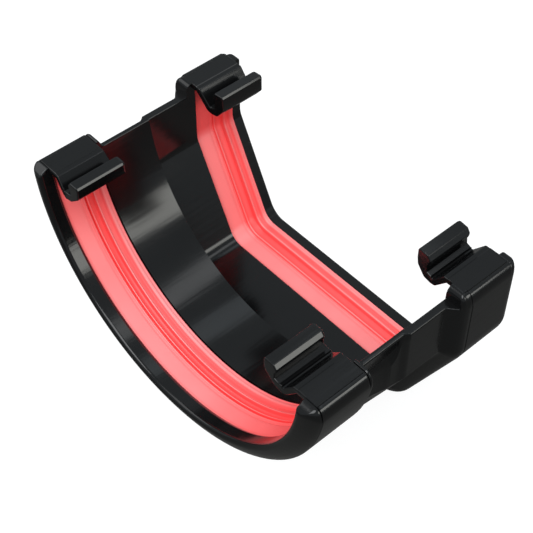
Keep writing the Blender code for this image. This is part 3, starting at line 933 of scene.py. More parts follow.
# the black moulding
@dataclass
class Moulding:
    """The trough shell with its two sockets, the link between them and the collar.

    Attributes:
        sizes: The adaptor's sizes.
        pitch: Largest distance between stations where the outline changes.
        quarter_steps: Steps along a rounded end.
        outlines: Its half cross sections, from the sizes.
        tracks: Every value that changes along it, by name, from the sizes.
    """

    sizes: AdaptorSizes
    pitch: float = 0.0004
    quarter_steps: int = 6
    outlines: Outlines = field(init=False)
    tracks: dict[str, Track] = field(init=False)

    # shares of the way along and outward: the bulge of the half-round end and the flare of the collar
    BULGE = ((0.0, 0.0), (0.05, 0.15), (0.17, 0.37), (0.37, 0.62), (0.60, 0.81), (0.80, 0.93), (1.0, 1.0))
    FLARE = ((0.0, 0.0), (0.06, 0.05), (0.14, 0.15), (0.26, 0.34), (0.40, 0.54), (0.56, 0.75), (0.76, 0.92),
             (1.0, 1.0))
    # how far the flare starts before the collar and ends beyond its start, in collars
    FLARE_REACH = (0.9, 0.8)
    # shares of the link's length, and the outer half width beyond the square-line inside
    LIP = ((0.19, 0.0005), (0.33, 0.0006), (0.52, 0.0010), (0.634, 0.0014), (0.781, 0.0017), (0.83, 0.0019),
           (0.93, 0.0025))
    # the same shares, and the lower edge of the side above the upright's lower end
    EDGE = ((0.0, 0.0003), (0.3, 0.0002), (0.634, -0.0005), (0.781, -0.0005))
    # the same shares, and the height of the crease under the rim
    CREASE = ((0.0, -0.0092), (0.64, -0.0087), (0.72, -0.0076), (0.765, -0.0063), (0.79, -0.0047),
              (0.815, -0.0026), (0.87, -0.0013))
    # share of the link at which it has become square-line, and where its tube has gone
    LINK_END = 0.96
    TUBE_END = 0.9
    # fillet behind the half-round socket: its length and its height
    SOCKET_FILLET = (0.0013, 0.0011)
    # share of the half-round end wall that its outer rounding takes
    BACK_SHARE = 0.75
    # before the end of a clip plate, and below its top
    PLATE_EASE = ((0.0004, 0.0), (0.00012, 0.00012), (0.0, 0.0004))
    # share of the half-round cheek's thickness, and below the plate top
    ROUND_CHEEK = ((0.0, 0.0004), (0.3, 0.0002), (0.7, 0.0004), (1.0, 0.0011))
    # behind that cheek, and above the plain rim
    RIM_FILLET = ((0.0, 0.0012), (0.0004, 0.0004), (0.0011, 0.0))
    # shares of the collar's length and of the plate top
    COLLAR_RISE = ((0.0, 0.54), (0.08, 0.73), (0.22, 0.88), (0.40, 0.97), (0.56, 1.0))
    # before the square-line end, and below the cheek
    SQUARE_CHEEK = ((0.0012, 0.0), (0.0004, 0.0005), (0.0, 0.0012))
    # before the square-line end, and beyond the trough inside
    SQUARE_MOUTH = ((0.0008, 0.0006), (0.0003, 0.0009), (0.0, 0.0014))
    # outer wall at the very front, beyond the inner rounding of the mouth
    FRONT_WALL = 0.0003
    # before the half-round seat, and beyond the neck of the mouth: there the inside starts to widen
    NECK_END = (0.0008, 0.0001)
    # inside just behind the square-line seat, beyond the trough inside
    BEHIND_SEAT = 0.0004
    # rim at the very front, below the half-round plate's top
    FRONT_DROP = 0.0026
    # floors of the slits: below the half-round plate, and below the square-line cheek
    SLIT_DROP = (0.0002, 0.0010)
    # widths of the rim's roundings: inner edge under a plate, inner edge elsewhere, plain outer edge
    SHARP, INNER_EDGE, PLAIN_EDGE = 0.00002, 0.0003, 0.0004
    # outer roundings of the rim at the very front, and at both ends of the square-line socket
    FRONT_CORNER, COLLAR_CORNER = 0.0003, 0.0010
    # inner roundings of the rim at the very front and at station 0
    FRONT_INNER = (0.0001, 0.0008)
    # largest share of the wall that the outer rounding of the rim takes
    CORNER_SHARE = 0.82
    # half height of the ledge between the link's tube and its side: the least, and per width
    LEDGE = (0.0002, 0.95)
    # length over which the fine step along a plate's border comes and goes
    BORDER_RUN = (0.0006, 0.0005)

    def __post_init__(self) -> None:
        """Works out the tracks from the sizes."""
        self.outlines = Outlines(self.sizes)
        self.tracks = {**self._link_tracks(), **self._wall_tracks(), **self._rim_tracks()}

    @property
    def _back(self) -> float:
        """Outer rounding at the back of the half-round socket."""
        return self.sizes.round_end_wall * self.BACK_SHARE

    @property
    def _collar_full(self) -> float:
        """Station at which the rim has reached the square-line plate's height."""
        return self.sizes.collar_start + self.sizes.collar * self.COLLAR_RISE[-1][0]

    def _link(self, k: float) -> float:
        """Station k of the way from the half-round socket to the step."""
        return lerp(self.sizes.round_end, self.sizes.step, k)

    def _flare(self, k: float) -> float:
        """Station along the flare of the collar.

        Args:
            k: How far along it is, 0 to 1.

        Returns:
            The station.
        """
        s = self.sizes
        before, beyond = (s.collar * reach for reach in self.FLARE_REACH)
        return s.collar_start - before + k * (before + beyond)

    def _bulge(self, low: float, high: float) -> list[Point]:
        """Keys of a value that grows from low to high over the bulge of the half-round end."""
        s = self.sizes
        return [(lerp(-s.nose, s.mouth_round, k), lerp(low, high, f)) for k, f in self.BULGE]

    def _flared(self, low: float, high: float) -> list[Point]:
        """Keys of a value that grows from low to high along the collar."""
        return [(self._flare(k), lerp(low, high, f)) for k, f in self.FLARE]

    def _eased(self, end: float, top: float) -> list[Point]:
        """Keys of a plate's height that ends in a small round."""
        return [(end - before, top - below) for before, below in self.PLATE_EASE]

    def _quarter(self, start: float, length: float, low: float, high: float, rising: bool) -> list[Point]:
        """Keys of a quarter round.

        Args:
            start: Station at which it starts.
            length: Its length.
            low: The value at its lower end.
            high: The value at its upper end.
            rising: True if the value grows to high, false if it falls from it.

        Returns:
            The keys.
        """
        keys = []
        for i in range(self.quarter_steps + 1):
            a = i / self.quarter_steps * math.pi / 2
            along, up = (1 - math.cos(a), math.sin(a)) if rising else (math.sin(a), math.cos(a))
            keys.append((start + length * along, low + (high - low) * up))
        return keys

    def _link_tracks(self) -> dict[str, Track]:
        """Tracks of the outside between the sockets.

        Returns:
            The half width, the lower edge and the crease of the link.
        """
        s, link = self.sizes, self._link
        socket = s.trough_radius + s.round_socket_wall - self._back - self.PLAIN_EDGE
        first = self.outlines.arc_x(socket)(-s.lip_depth) - s.square_half
        last = s.lip_depth + self.outlines.corners(s.under_wall, s.square_wall)[0][1]
        lip = ((0.0, first), *self.LIP, (self.LINK_END, s.square_wall))
        edge = (*self.EDGE, (self.LINK_END, last))
        return {"lip": Track(tuple((link(k), s.square_half + v) for k, v in lip), True),
                "edge": Track(tuple((link(k), v - s.lip_depth) for k, v in edge), True),
                "crease": Track(tuple((link(k), v) for k, v in self.CREASE), True)}

    def _wall_tracks(self) -> dict[str, Track]:
        """Tracks of the inner and outer walls.

        Returns:
            The walls of the half-round and the square-line side, outside and inside, the outer crease
            of the square-line socket and the fine line around it.
        """
        s, back = self.sizes, self._back
        neck = s.trough_radius + s.mouth_neck
        seat_r = s.trough_radius + s.groove
        out_r, out_s = s.trough_radius + s.round_socket_wall, s.square_socket_wall
        line = s.mouth_round + s.line_half
        (start_r, end_r), (start_s, end_s) = s.round_seat, s.square_seat
        rounded = self._quarter(s.length - s.end_round, s.end_round, out_s - s.end_round, out_s, False)
        full = s.crease_round + out_s
        mouth = [(s.length - before, beyond) for before, beyond in self.SQUARE_MOUTH]
        return {
            "out_r": Track((*self._bulge(neck + s.mouth_edge + self.FRONT_WALL, out_r),
                            (line, out_r - s.line_depth), (line + s.line_half, out_r),
                            *self._quarter(s.round_end - back, back, out_r - back, out_r, False)), True),
            "out_s": Track((*self._flared(s.square_wall, out_s), *rounded), True),
            "under": Track((*self._flared(s.under_wall, out_s), *rounded), True),
            "out_edge": Track(((self._flare(0.0), s.edge_round), (self._flare(1.0), full),
                               (s.length - s.end_round, full), (s.length, full - s.end_round))),
            "line": Track(((start_s, 0.0), (start_s + s.line_half, s.line_depth),
                           (start_s + 2 * s.line_half, 0.0))),
            "in_r": Track((*self._quarter(-s.nose, s.mouth_edge, neck + s.mouth_edge, neck, True),
                           (start_r - self.NECK_END[0], neck + self.NECK_END[1]),
                           (start_r, s.trough_radius + s.mouth_lead), (start_r, seat_r), (end_r, seat_r),
                           (end_r, s.trough_radius), (s.step, s.trough_radius))),
            "in_s": Track(((s.step, 0.0), (start_s, 0.0), (start_s, s.groove), (end_s, s.groove),
                           (end_s, self.BEHIND_SEAT), *mouth))}

    def _rim_tracks(self) -> dict[str, Track]:
        """Tracks of the rim.

        Returns:
            Its height, the widths of its outer and inner rounding, and the fine step along its border.
        """
        s, full = self.sizes, self._collar_full
        line, collar = s.mouth_round + 2 * s.line_half, s.collar_start
        slit_r, slit_s = s.slits
        end_r, top_r, top_s = s.round_seat[1], s.round_plate_top, s.square_plate_top
        deep_r = top_r - s.plate_thickness - self.SLIT_DROP[0]
        cheek = top_s - s.cheek_drop
        deep_s = cheek - self.SLIT_DROP[1]
        comes, goes = self.BORDER_RUN
        return {
            "top": Track((
                *self._bulge(top_r - self.FRONT_DROP, top_r),
                (line - s.line_half, top_r - s.line_depth),
                (line, top_r),
                *self._eased(slit_r, top_r),
                (slit_r, deep_r),
                (end_r, deep_r),
                *((lerp(end_r, s.round_end, k), top_r - below) for k, below in self.ROUND_CHEEK),
                *((s.round_end + behind, above) for behind, above in self.RIM_FILLET),
                (collar, 0.0),
                *((collar + s.collar * k, top_s * f) for k, f in self.COLLAR_RISE),
                *self._eased(slit_s, top_s),
                (slit_s, deep_s),
                (slit_s + s.slit, deep_s),
                (slit_s + s.slit, cheek),
                *((s.length - before, cheek - below) for before, below in self.SQUARE_CHEEK)), True),
            "corner": Track((
                (-s.nose, self.FRONT_CORNER), (s.mouth_round, s.round_corner), (s.round_end, s.round_corner),
                (s.round_end, self.PLAIN_EDGE), (collar, self.PLAIN_EDGE), (collar, self.COLLAR_CORNER),
                (full, s.square_corner), (slit_s + s.slit, s.square_corner),
                (s.length, self.COLLAR_CORNER))),
            "border": Track((
                (line, 0.0), (line - s.line_half + comes, 1.0), (slit_r - goes, 1.0), (slit_r, 0.0),
                (full, 0.0), (full + comes, 1.0), (slit_s - goes, 1.0), (slit_s, 0.0))),
            "in_corner": Track((
                (-s.nose, self.FRONT_INNER[0]), (0.0, self.FRONT_INNER[1]), (s.mouth_round, self.SHARP),
                (slit_r, self.SHARP), (slit_r, self.INNER_EDGE), (collar, self.INNER_EDGE),
                (full, self.SHARP), (slit_s, self.SHARP), (slit_s, self.INNER_EDGE),
                (s.length, self.INNER_EDGE)))}

    def _link_outline(self, y: float, top: float, rounding: float) -> list[Point]:
        """Outer half outline between the sockets: a tube under the rim that grows square lower down.

        Args:
            y: The station.
            top: Height of the rim.
            rounding: Width of the rim's rounding.

        Returns:
            Its points.
        """
        s, o = self.sizes, self.outlines
        full = o.square(s.square_wall, top, rounding, Outward.OUT, s.under_wall, s.edge_round)
        last = self._link(self.LINK_END)
        if y > last - SAME:
            return full
        lip, edge, crease = (self.tracks[name].at(y, True) for name in ("lip", "edge", "crease"))
        near = max(0.0, 1 - (y - s.round_end) / self.SOCKET_FILLET[0])
        radius = s.trough_radius + s.trough_wall + self.SOCKET_FILLET[1] * near ** 2
        x_arc = o.arc_x(radius)

        # the rim and the tube's side, which move out to the square-line side near the end
        widening = self._link(self.CREASE[-1][0])
        shift = max(0.0, (y - widening) / (last - widening)) * (lip - x_arc(0.0))
        pts = [(x + shift, z) for x, z in o.top_corner(x_arc, top, rounding, Outward.OUT)]
        least, slope = self.LEDGE
        ledge = least + slope * abs(lip - x_arc(crease))
        pts.append((x_arc(crease) + shift, min(crease + ledge, pts[-1][1] - least)))
        pts.append((lip, crease - ledge))

        # below the lower edge, the line that touches the tube, and the tube
        reach = math.hypot(lip, s.arc_centre - edge)
        turn = math.atan2(s.arc_centre - edge, lip) + math.acos(min(1.0, radius / reach))
        touch = (radius * math.cos(turn), s.arc_centre - radius * math.sin(turn))
        n, k = o.run_points, o.crease_points
        tube = [(lip, edge)] * k
        tube += [between((lip, edge), touch, (i + 1) / (n + 1)) for i in range(n)]
        tube += o.arc(radius, turn, math.pi / 2, o.floor_points + n)
        t = min(1.0, (y - s.round_end) / (self._link(self.TUBE_END) - s.round_end))
        blend = [between(p, q, t) for p, q in zip(tube, full[o.rim_points + 2:])]
        return pts + fillet((lip, edge), (lip, 0.0), blend[k], s.edge_round, k) + blend[k:]

    def _half_ring(self, y: float, after: bool) -> tuple[list[Point], list[Point]]:
        """Half cross section at a station.

        Args:
            y: The station.
            after: True for the far side of a step that stands there.

        Returns:
            The outer and the inner half outline.
        """

        def before(mark: float) -> bool:
            """Whether the section is in front of a station."""
            return y < mark - SAME or (abs(y - mark) < SAME and not after)

        s, o = self.sizes, self.outlines
        v = {name: track.at(y, after) for name, track in self.tracks.items()}
        top, cut, linking = v["top"], v["line"], y < self._flare(0.0)
        if before(s.step):
            inner = o.half_round(v["in_r"], top, v["in_corner"], Outward.IN)
        else:
            inner = o.square(v["in_s"], top, v["in_corner"], Outward.IN)
        if before(s.round_end):
            full = o.arc_x(v["out_r"])(top)
        elif linking:
            full = o.arc_x(s.trough_radius + s.trough_wall)(top)
        else:
            full = s.square_half + v["out_s"]
        corner = min(v["corner"], self.CORNER_SHARE * (full - inner[0][0]))
        if before(s.round_end):
            return o.half_round(v["out_r"], top, corner, Outward.OUT, v["border"]), inner
        if linking:
            return self._link_outline(y, top, corner), inner
        rim = o.square(v["out_s"], top, corner, Outward.OUT, v["under"], v["out_edge"], v["border"])
        wall = o.square(v["out_s"] - cut, top, corner, Outward.OUT, v["under"] - cut, v["out_edge"])
        return rim[:o.rim_points] + wall[o.rim_points:], inner

    def _stations(self) -> list[tuple[float, bool]]:
        """Every station at which the shell has a ring.

        Returns:
            The stations in order, each with false, and steps once more with true for their far side.
        """
        s = self.sizes
        ys: list[float] = []
        for y in (k for track in self.tracks.values() for k in track.stations()):
            if not any(abs(y - k) < CLOSE for k in ys):
                ys.append(y)
        ys.sort()
        spans = ((-s.nose, s.mouth_round), (s.round_end, s.step), (self._flare(0.0), self._flare(1.0)),
                 (s.length - s.end_round, s.length))
        extra = []
        for a, b in zip(ys, ys[1:]):
            if b - a > self.pitch and any(lo - SAME <= a and b <= hi + SAME for lo, hi in spans):
                n = math.ceil((b - a) / self.pitch)
                extra += [lerp(a, b, i / n) for i in range(1, n)]
        steps = [y for track in self.tracks.values() for y in track.steps()] + [s.round_end, s.step]
        out = []
        for y in sorted(ys + extra):
            out.append((y, False))
            if any(abs(y - k) < CLOSE for k in steps):
                out.append((y, True))
        return out

    def build(self) -> bpy.types.Object:
        """Skins the shell.

        Returns:
            The shell as one closed mesh object.
        """
        rings = []
        for y, after in self._stations():
            outer, inner = self._half_ring(y, after)
            loop = outer + [(-x, z) for x, z in outer[-2::-1]]
            loop += [(-x, z) for x, z in inner] + inner[-2::-1]
            rings.append([self.sizes.placed(x, y, z) for x, z in loop])
        LOG.info("shell: %d rings of %d points", len(rings), len(rings[0]))
        return skinned(rings, "adaptor_body")


@dataclass(frozen=True)
class SnapClip:
    """A clip over one rim: plate, sloping lip, valley and thumb head.

    Attributes:
        root: Where the plate grows out of the wall.
        top: Height of the plate.
        plate_in: Inner edge of the plate.
        head_in: Inner side of the thumb head.
        head_top: Height of the head.
        valley_x: Middle of the valley.
        front: Stations of the front end, at the head and at the plate.
        back: Stations of the back end, at the head and at the plate.
        plate_thickness: Thickness of the plate.
        plate_sink: Plate below the rim of the wall.
        head_width: Width of the head.
        valley: Height of the valley's floor.
        valley_thickness: Thickness under that floor.
        lip_thickness: Thickness of the sloping lip.
        facet: Width and height of the slope along the head's outer edge.
        lean: How far the head's top falls towards that slope.
        ease: Rounding of the ends.
        head_ease: Rounding of the head's back end.
        head_middle: Depth below the head's top of the point that its back end is drawn to.
        foot: Height above the valley at which the head starts, and over which it becomes whole.
        skew: Width over which an end goes from its head station to its plate station.
        corner_points: Points on each rounded corner of the section.
        turn_steps: Steps around the rounding of an end.
    """

    root: float
    top: float
    plate_in: float
    head_in: float
    head_top: float
    valley_x: float
    front: Point
    back: Point
    plate_thickness: float
    plate_sink: float
    head_width: float = 0.0048
    valley: float = -0.0004
    valley_thickness: float = 0.0029
    lip_thickness: float = 0.0022
    facet: Point = (0.0011, 0.0017)
    lean: float = 0.0004
    ease: float = 0.0004
    head_ease: float = 0.0011
    head_middle: float = 0.0024
    foot: Point = (0.0012, 0.0012)
    skew: float = 0.0050
    corner_points: int = 7
    turn_steps: int = 4

    def outline(self) -> list[Point]:
        """Closed section of the clip on the near side.

        Returns:
            Its points, from the root over the plate, the valley and the head, and back underneath.
        """
        under = self.top - self.plate_thickness
        top = self.top - self.plate_sink
        valley, slope = self.valley, self.valley_x + 0.0010
        floor = valley - self.valley_thickness
        inner, out = self.head_in, self.head_in + self.head_width
        crest, mid = self.head_top, lerp(valley, self.head_top, 0.5)
        shoulder = crest - self.lean
        ledge = shoulder - self.facet[1]
        run = math.atan2(top - valley, self.plate_in - slope)
        bend = slope + (self.lip_thickness + (under - valley) * math.cos(run)) / math.sin(run)

        # half width, height and rounding of each corner
        plate = [(self.root, under, 0.0), (self.root, top, 0.0), (self.plate_in + 0.0016, top, 0.0),
                 (self.plate_in + 0.0014, top - 0.00015, 0.0), (self.plate_in, top - 0.0002, 0.0007)]
        hollow = [(slope, valley, 0.0005), (slope - 0.0003, valley - 0.0004, 0.0),
                  (slope - 0.0007, valley - 0.0004, 0.0), (slope - 0.0009, valley + 0.0001, 0.0),
                  (lerp(out, slope, 0.35), valley - 0.0001, 0.0), (out - 0.0007, valley + 0.0004, 0.0)]
        head = [(out - 0.0007, lerp(valley, ledge, 0.55), 0.0006), (out - 0.0001, ledge - 0.0009, 0.0005),
                (out, ledge, 0.0004), (out - self.facet[0], shoulder, 0.0004),
                (inner + 0.0005, crest, 0.0003), (inner, crest - 0.00075, 0.0003), (inner, mid, 0.0)]
        underside = [(inner + 0.0004, valley + 0.0010, 0.0016),
                     (self.valley_x - 0.0026, floor + 0.0006, 0.0016), (self.valley_x, floor, 0.0),
                     (slope + self.lip_thickness * 0.35, floor + 0.0005, 0.0016), (bend, under, 0.0008)]
        corners = plate + hollow + head + underside
        pts: list[Point] = []
        for i, (x, z, rounding) in enumerate(corners):
            if rounding <= 0:
                pts.append((x, z))
                continue
            before, after = corners[i - 1][:2], corners[(i + 1) % len(corners)][:2]
            pts += fillet((x, z), before, after, rounding, self.corner_points)
        return pts

    def _station(self, end: Point, x: float) -> float:
        """Station of an end at half width x."""
        return lerp(end[0], end[1], clamped((x - self.valley_x) / self.skew))

    def _headness(self, p: Point) -> float:
        """How far a point of the section belongs to the head.

        Args:
            p: The point.

        Returns:
            0 in the plate and the valley, 1 in the head.
        """
        if p[0] >= self.head_in + self.head_width + 0.0001:
            return 0.0
        return clamped((p[1] - self.valley - self.foot[0]) / self.foot[1])

    def _back_ring(self, outline: list[Point], grow: float, step: float) -> list[tuple[Point, float]]:
        """Section at the back end, where the head is rounded more than the rest.

        Args:
            outline: The full section.
            grow: Share of the rounding by which it is drawn in.
            step: Share of the rounding by which it stands before the end.

        Returns:
            Its points, each with its station.
        """
        middle = (self.head_in + self.head_width / 2, self.head_top - self.head_middle)
        ring = []
        for p, q in zip(outline, inset(outline, grow * self.ease)):
            w = self._headness(p)
            drawn = between(p, middle, grow * self.head_ease / self.head_middle)
            station = self._station(self.back, p[0]) - step * lerp(self.ease, self.head_ease, w)
            ring.append((between(q, drawn, w), station))
        return ring

    def build(self, sizes: AdaptorSizes, side: Side) -> bpy.types.Object:
        """Makes the clip on one side.

        Args:
            sizes: The adaptor's sizes, for its frame.
            side: The rim that the clip sits on.

        Returns:
            The clip as a closed mesh object.
        """
        outline = self.outline()
        angles = [i / self.turn_steps * math.pi / 2 for i in range(self.turn_steps + 1)]
        turns = [(1 - math.sin(a), 1 - math.cos(a)) for a in angles]
        sections = []
        for grow, step in turns:
            sections.append([(p, self._station(self.front, p[0]) + step * self.ease)
                             for p in inset(outline, grow * self.ease)])
        for grow, step in reversed(turns):
            sections.append(self._back_ring(outline, grow, step))
        rings = [[sizes.placed(side.value * x, y, z) for (x, z), y in section] for section in sections]
        return skinned(rings, "clip")


@dataclass
class AdaptorBody:
    """The black moulding: trough shell and four snap clips in one piece.

    Attributes:
        sizes: The adaptor's sizes.
        finish: Its material.
        sharp: Edges sharper than this, in degrees, stay sharp.
        end_tuck: How far a plate's back end stays clear of its slit.
    """

    sizes: AdaptorSizes
    finish: MouldedPlastic
    sharp: float = 26.0
    end_tuck: float = 0.00002

    def _clips(self) -> tuple[SnapClip, SnapClip]:
        """The clips of one side.

        Returns:
            The half-round and the square-line clip.
        """
        s = self.sizes
        slit_r, slit_s = s.slits
        seat = s.square_seat[0]
        wall_r = Outlines(s).arc_x(s.trough_radius + s.groove)(s.round_plate_top)
        half_round = SnapClip(
            root=wall_r + s.root_overlap, top=s.round_plate_top,
            plate_in=s.trough_radius - s.round_plate_reach,
            head_in=s.trough_radius - s.round_head_reach, head_top=s.round_head_top,
            valley_x=s.trough_radius - s.valley_reach,
            front=(s.round_mouth * 0.40, s.round_mouth * 0.58),
            back=(slit_r + 0.0003, slit_r - self.end_tuck),
            plate_thickness=s.plate_thickness, plate_sink=s.plate_sink,
            facet=(0.0011, 0.0013), lean=0.0001)
        square = SnapClip(
            root=s.square_half + s.groove + s.root_overlap, top=s.square_plate_top,
            plate_in=s.square_half - s.square_plate_reach,
            head_in=s.square_half - s.square_head_reach, head_top=s.square_head_top,
            valley_x=s.square_half - s.valley_reach,
            front=(seat - s.collar * 0.1, seat - s.collar * 0.3), back=(slit_s, slit_s - self.end_tuck),
            plate_thickness=s.plate_thickness, plate_sink=s.plate_sink)
        return half_round, square

    @staticmethod
    def _join(target: bpy.types.Object, tool: bpy.types.Object) -> None:
        """Joins a solid onto another.

        Args:
            target: The solid that stays.
            tool: The solid that is used up.
        """
        mod = target.modifiers.new("join", "BOOLEAN")
        mod.operation = "UNION"
        mod.solver = "EXACT"
        mod.object = tool
        evaluated_mesh(target)
        bpy.data.objects.remove(tool)

    def build(self) -> bpy.types.Object:
        """Makes the body and sets it on its node.

        Returns:
            The body piece.
        """
        body = Moulding(self.sizes).build()
        for clip in self._clips():
            for side in Side:
                self._join(body, clip.build(self.sizes, side))
        body.data.materials.clear()
        body.data.materials.append(self.finish.make())
        smoothed(body, self.sharp)
        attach(body, "root")
        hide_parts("body")
        LOG.info("%s: %d faces", body.name, len(body.data.polygons))
        return body


# the coral seals
class SweepTree:
    """Geometry Nodes tree that runs a seal's section along its seat."""

    NAME = "seal_sweep"
    INPUTS = {"Seat": "NodeSocketObject", "Section": "NodeSocketObject", "Width": "NodeSocketFloat",
              "Height": "NodeSocketFloat", "Finish": "NodeSocketMaterial"}

    def __init__(self) -> None:
        """Builds the tree, or finds it."""
        self.tree = bpy.data.node_groups.get(self.NAME) or self._build()

    def _build(self) -> bpy.types.NodeTree:
        """Makes the tree with its named inputs.

        Returns:
            The tree.
        """
        tree = bpy.data.node_groups.new(self.NAME, "GeometryNodeTree")
        face = tree.interface
        face.new_socket("Geometry", in_out="INPUT", socket_type="NodeSocketGeometry")
        for name, kind in self.INPUTS.items():
            face.new_socket(name, in_out="INPUT", socket_type=kind)
        face.new_socket("Geometry", in_out="OUTPUT", socket_type="NodeSocketGeometry")
        nodes, links = tree.nodes, tree.links
        given = nodes.new("NodeGroupInput")
        seat = nodes.new("GeometryNodeObjectInfo")
        section = nodes.new("GeometryNodeObjectInfo")
        normal = nodes.new("GeometryNodeSetCurveNormal")
        scale = nodes.new("ShaderNodeCombineXYZ")
        sized = nodes.new("GeometryNodeTransform")
        sweep = nodes.new("GeometryNodeCurveToMesh")
        real = nodes.new("GeometryNodeRealizeInstances")
        dress = nodes.new("GeometryNodeSetMaterial")
        result = nodes.new("NodeGroupOutput")
        normal.mode = "FREE"
        normal.inputs["Normal"].default_value = (0.0, 1.0, 0.0)
        scale.inputs["Z"].default_value = 1.0
        sweep.inputs["Fill Caps"].default_value = True
        links.new(given.outputs["Seat"], seat.inputs["Object"])
        links.new(given.outputs["Section"], section.inputs["Object"])
        links.new(given.outputs["Width"], scale.inputs["X"])
        links.new(given.outputs["Height"], scale.inputs["Y"])
        links.new(seat.outputs["Geometry"], normal.inputs["Curve"])
        links.new(section.outputs["Geometry"], sized.inputs["Geometry"])
        links.new(scale.outputs["Vector"], sized.inputs["Scale"])
        links.new(normal.outputs["Curve"], sweep.inputs["Curve"])
        links.new(sized.outputs["Geometry"], sweep.inputs["Profile Curve"])
        links.new(sweep.outputs["Mesh"], real.inputs["Geometry"])
        links.new(real.outputs["Geometry"], dress.inputs["Geometry"])
        links.new(given.outputs["Finish"], dress.inputs["Material"])
        links.new(dress.outputs["Geometry"], result.inputs["Geometry"])
        return tree

    def run(self, name: str, values: dict[str, object]) -> bpy.types.Object:
        """Runs the tree on a new object and turns the result into plain mesh.

        Args:
            name: Name of the new object.
            values: Value of each named input.

        Returns:
            The new object.
        """
        obj = linked(name, bpy.data.meshes.new(name))
        mod = obj.modifiers.new("sweep", "NODES")
        mod.node_group = self.tree
        sockets = {i.name: i.identifier for i in self.tree.interface.items_tree if i.in_out == "INPUT"}
        for key, value in values.items():
            mod[sockets[key]] = value
        evaluated_mesh(obj)
        return obj


@dataclass
class RubberSeal(ABC):
    """A ribbed seal along the inside of a socket.

    Attributes:
        sizes: The adaptor's sizes.
        finish: Its material.
        name: Name of the piece.
        node: The CAD node that it stands for.
        sharp: Edges sharper than this, in degrees, stay sharp.
    """

    sizes: AdaptorSizes
    finish: SealRubber
    name: str
    node: str
    sharp: float = 32.0

    # the smooth lip along the front of both seals, each band with its place, height and painted sheen
    LIP = (Band(0.0, 0.48, 0.60), Band(0.02, 0.575, 0.75), Band(0.045, 0.585, 0.50),
           Band(0.075, 0.60, 0.74), Band(0.35, 0.66, 0.70), Band(0.385, 0.62, 0.55))

    @property
    @abstractmethod
    def start(self) -> float:
        """Station of the front edge."""

    @property
    @abstractmethod
    def width(self) -> float:
        """Width of the seal along the trough."""

    @property
    @abstractmethod
    def bands(self) -> tuple[Band, ...]:
        """The bands across the seal, from its front edge."""

    @abstractmethod
    def seat(self) -> list[Point]:
        """Line of the seat from the far rim down and up to the near rim."""

    def build(self) -> bpy.types.Object:
        """Sweeps the ribbed section along the seat and sets it on its node.

        Returns:
            The seal piece.
        """
        path = poly_curve("seat", [self.sizes.placed(x, self.start, z) for x, z in self.seat()], False)
        section = [(0.0, 0.0), *((band.across, band.height) for band in self.bands), (1.0, 0.0)]
        ribs = poly_curve("section", [(x, z, 0.0) for x, z in softened(section, 2, 0.15)], True)
        front = self.sizes.placed(0.0, self.start, 0.0)[1]
        piece = SweepTree().run(self.name, {
            "Seat": path, "Section": ribs, "Width": self.width, "Height": self.sizes.seal_thickness,
            "Finish": self.finish.make(front, self.width, self.bands)})
        for tool in (path, ribs):
            bpy.data.objects.remove(tool)
        bm = bmesh.new()
        bm.from_mesh(piece.data)
        bmesh.ops.remove_doubles(bm, verts=bm.verts, dist=DOUBLE)
        bmesh.ops.recalc_face_normals(bm, faces=bm.faces)
        bm.to_mesh(piece.data)
        bm.free()
        smoothed(piece, self.sharp)
        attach(piece, "root")
        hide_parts(self.node)
        LOG.info("%s: %d faces", piece.name, len(piece.data.polygons))
        return piece


@dataclass
class HalfRoundSeal(RubberSeal):
    """The seal in the half-round socket.

    Attributes:
        steps: Steps along its arc.
        front_gap: Clearance in front of it.
        spread: How much wider it lies than the CAD strip.
    """

    name: str = "seal_half_round"
    node: str = "half_round_seal"
    steps: int = 96
    front_gap: float = 0.0002
    spread: float = 0.0004

    @property
    def start(self) -> float:
        """Station of the front edge."""
        return self.sizes.round_seat[0] + self.front_gap

    @property
    def width(self) -> float:
        """Width of the seal along the trough."""
        return self.sizes.round_seal_width + self.spread

    @property
    def bands(self) -> tuple[Band, ...]:
        """Lip, narrow rib, wide groove and two ridges, each band with its height and painted sheen.

        Returns:
            The bands, in order across the seal.
        """
        return (*self.LIP, Band(0.410, 0.62, 0.62), Band(0.445, 0.75, 0.95), Band(0.463, 0.70, 0.50),
                Band(0.475, 0.50, 0.10), Band(0.497, 0.50, 0.15), Band(0.508, 0.75, 0.95),
                Band(0.530, 0.76, 0.95), Band(0.546, 0.48, 0.0), Band(0.610, 0.48, 0.04),
                Band(0.655, 0.55, 0.15), Band(0.675, 0.90, 0.95), Band(0.700, 0.90, 1.0),
                Band(0.728, 0.80, 0.40), Band(0.760, 0.80, 0.15), Band(0.820, 0.80, 0.20),
                Band(0.850, 0.95, 0.60), Band(0.872, 1.0, 1.0), Band(0.905, 1.0, 0.95),
                Band(0.940, 0.94, 0.75), Band(0.980, 0.98, 0.80), Band(1.0, 0.90, 0.70))

    def seat(self) -> list[Point]:
        """Arc of the seat.

        Returns:
            Its points, from the far rim to the near rim.
        """
        s = self.sizes
        radius = s.trough_radius + s.seal_thickness
        top = s.round_plate_top - s.plate_thickness - s.seal_top_gap
        first = math.asin((s.arc_centre - top) / radius)
        return Outlines(s).arc(radius, math.pi - first, first, self.steps)


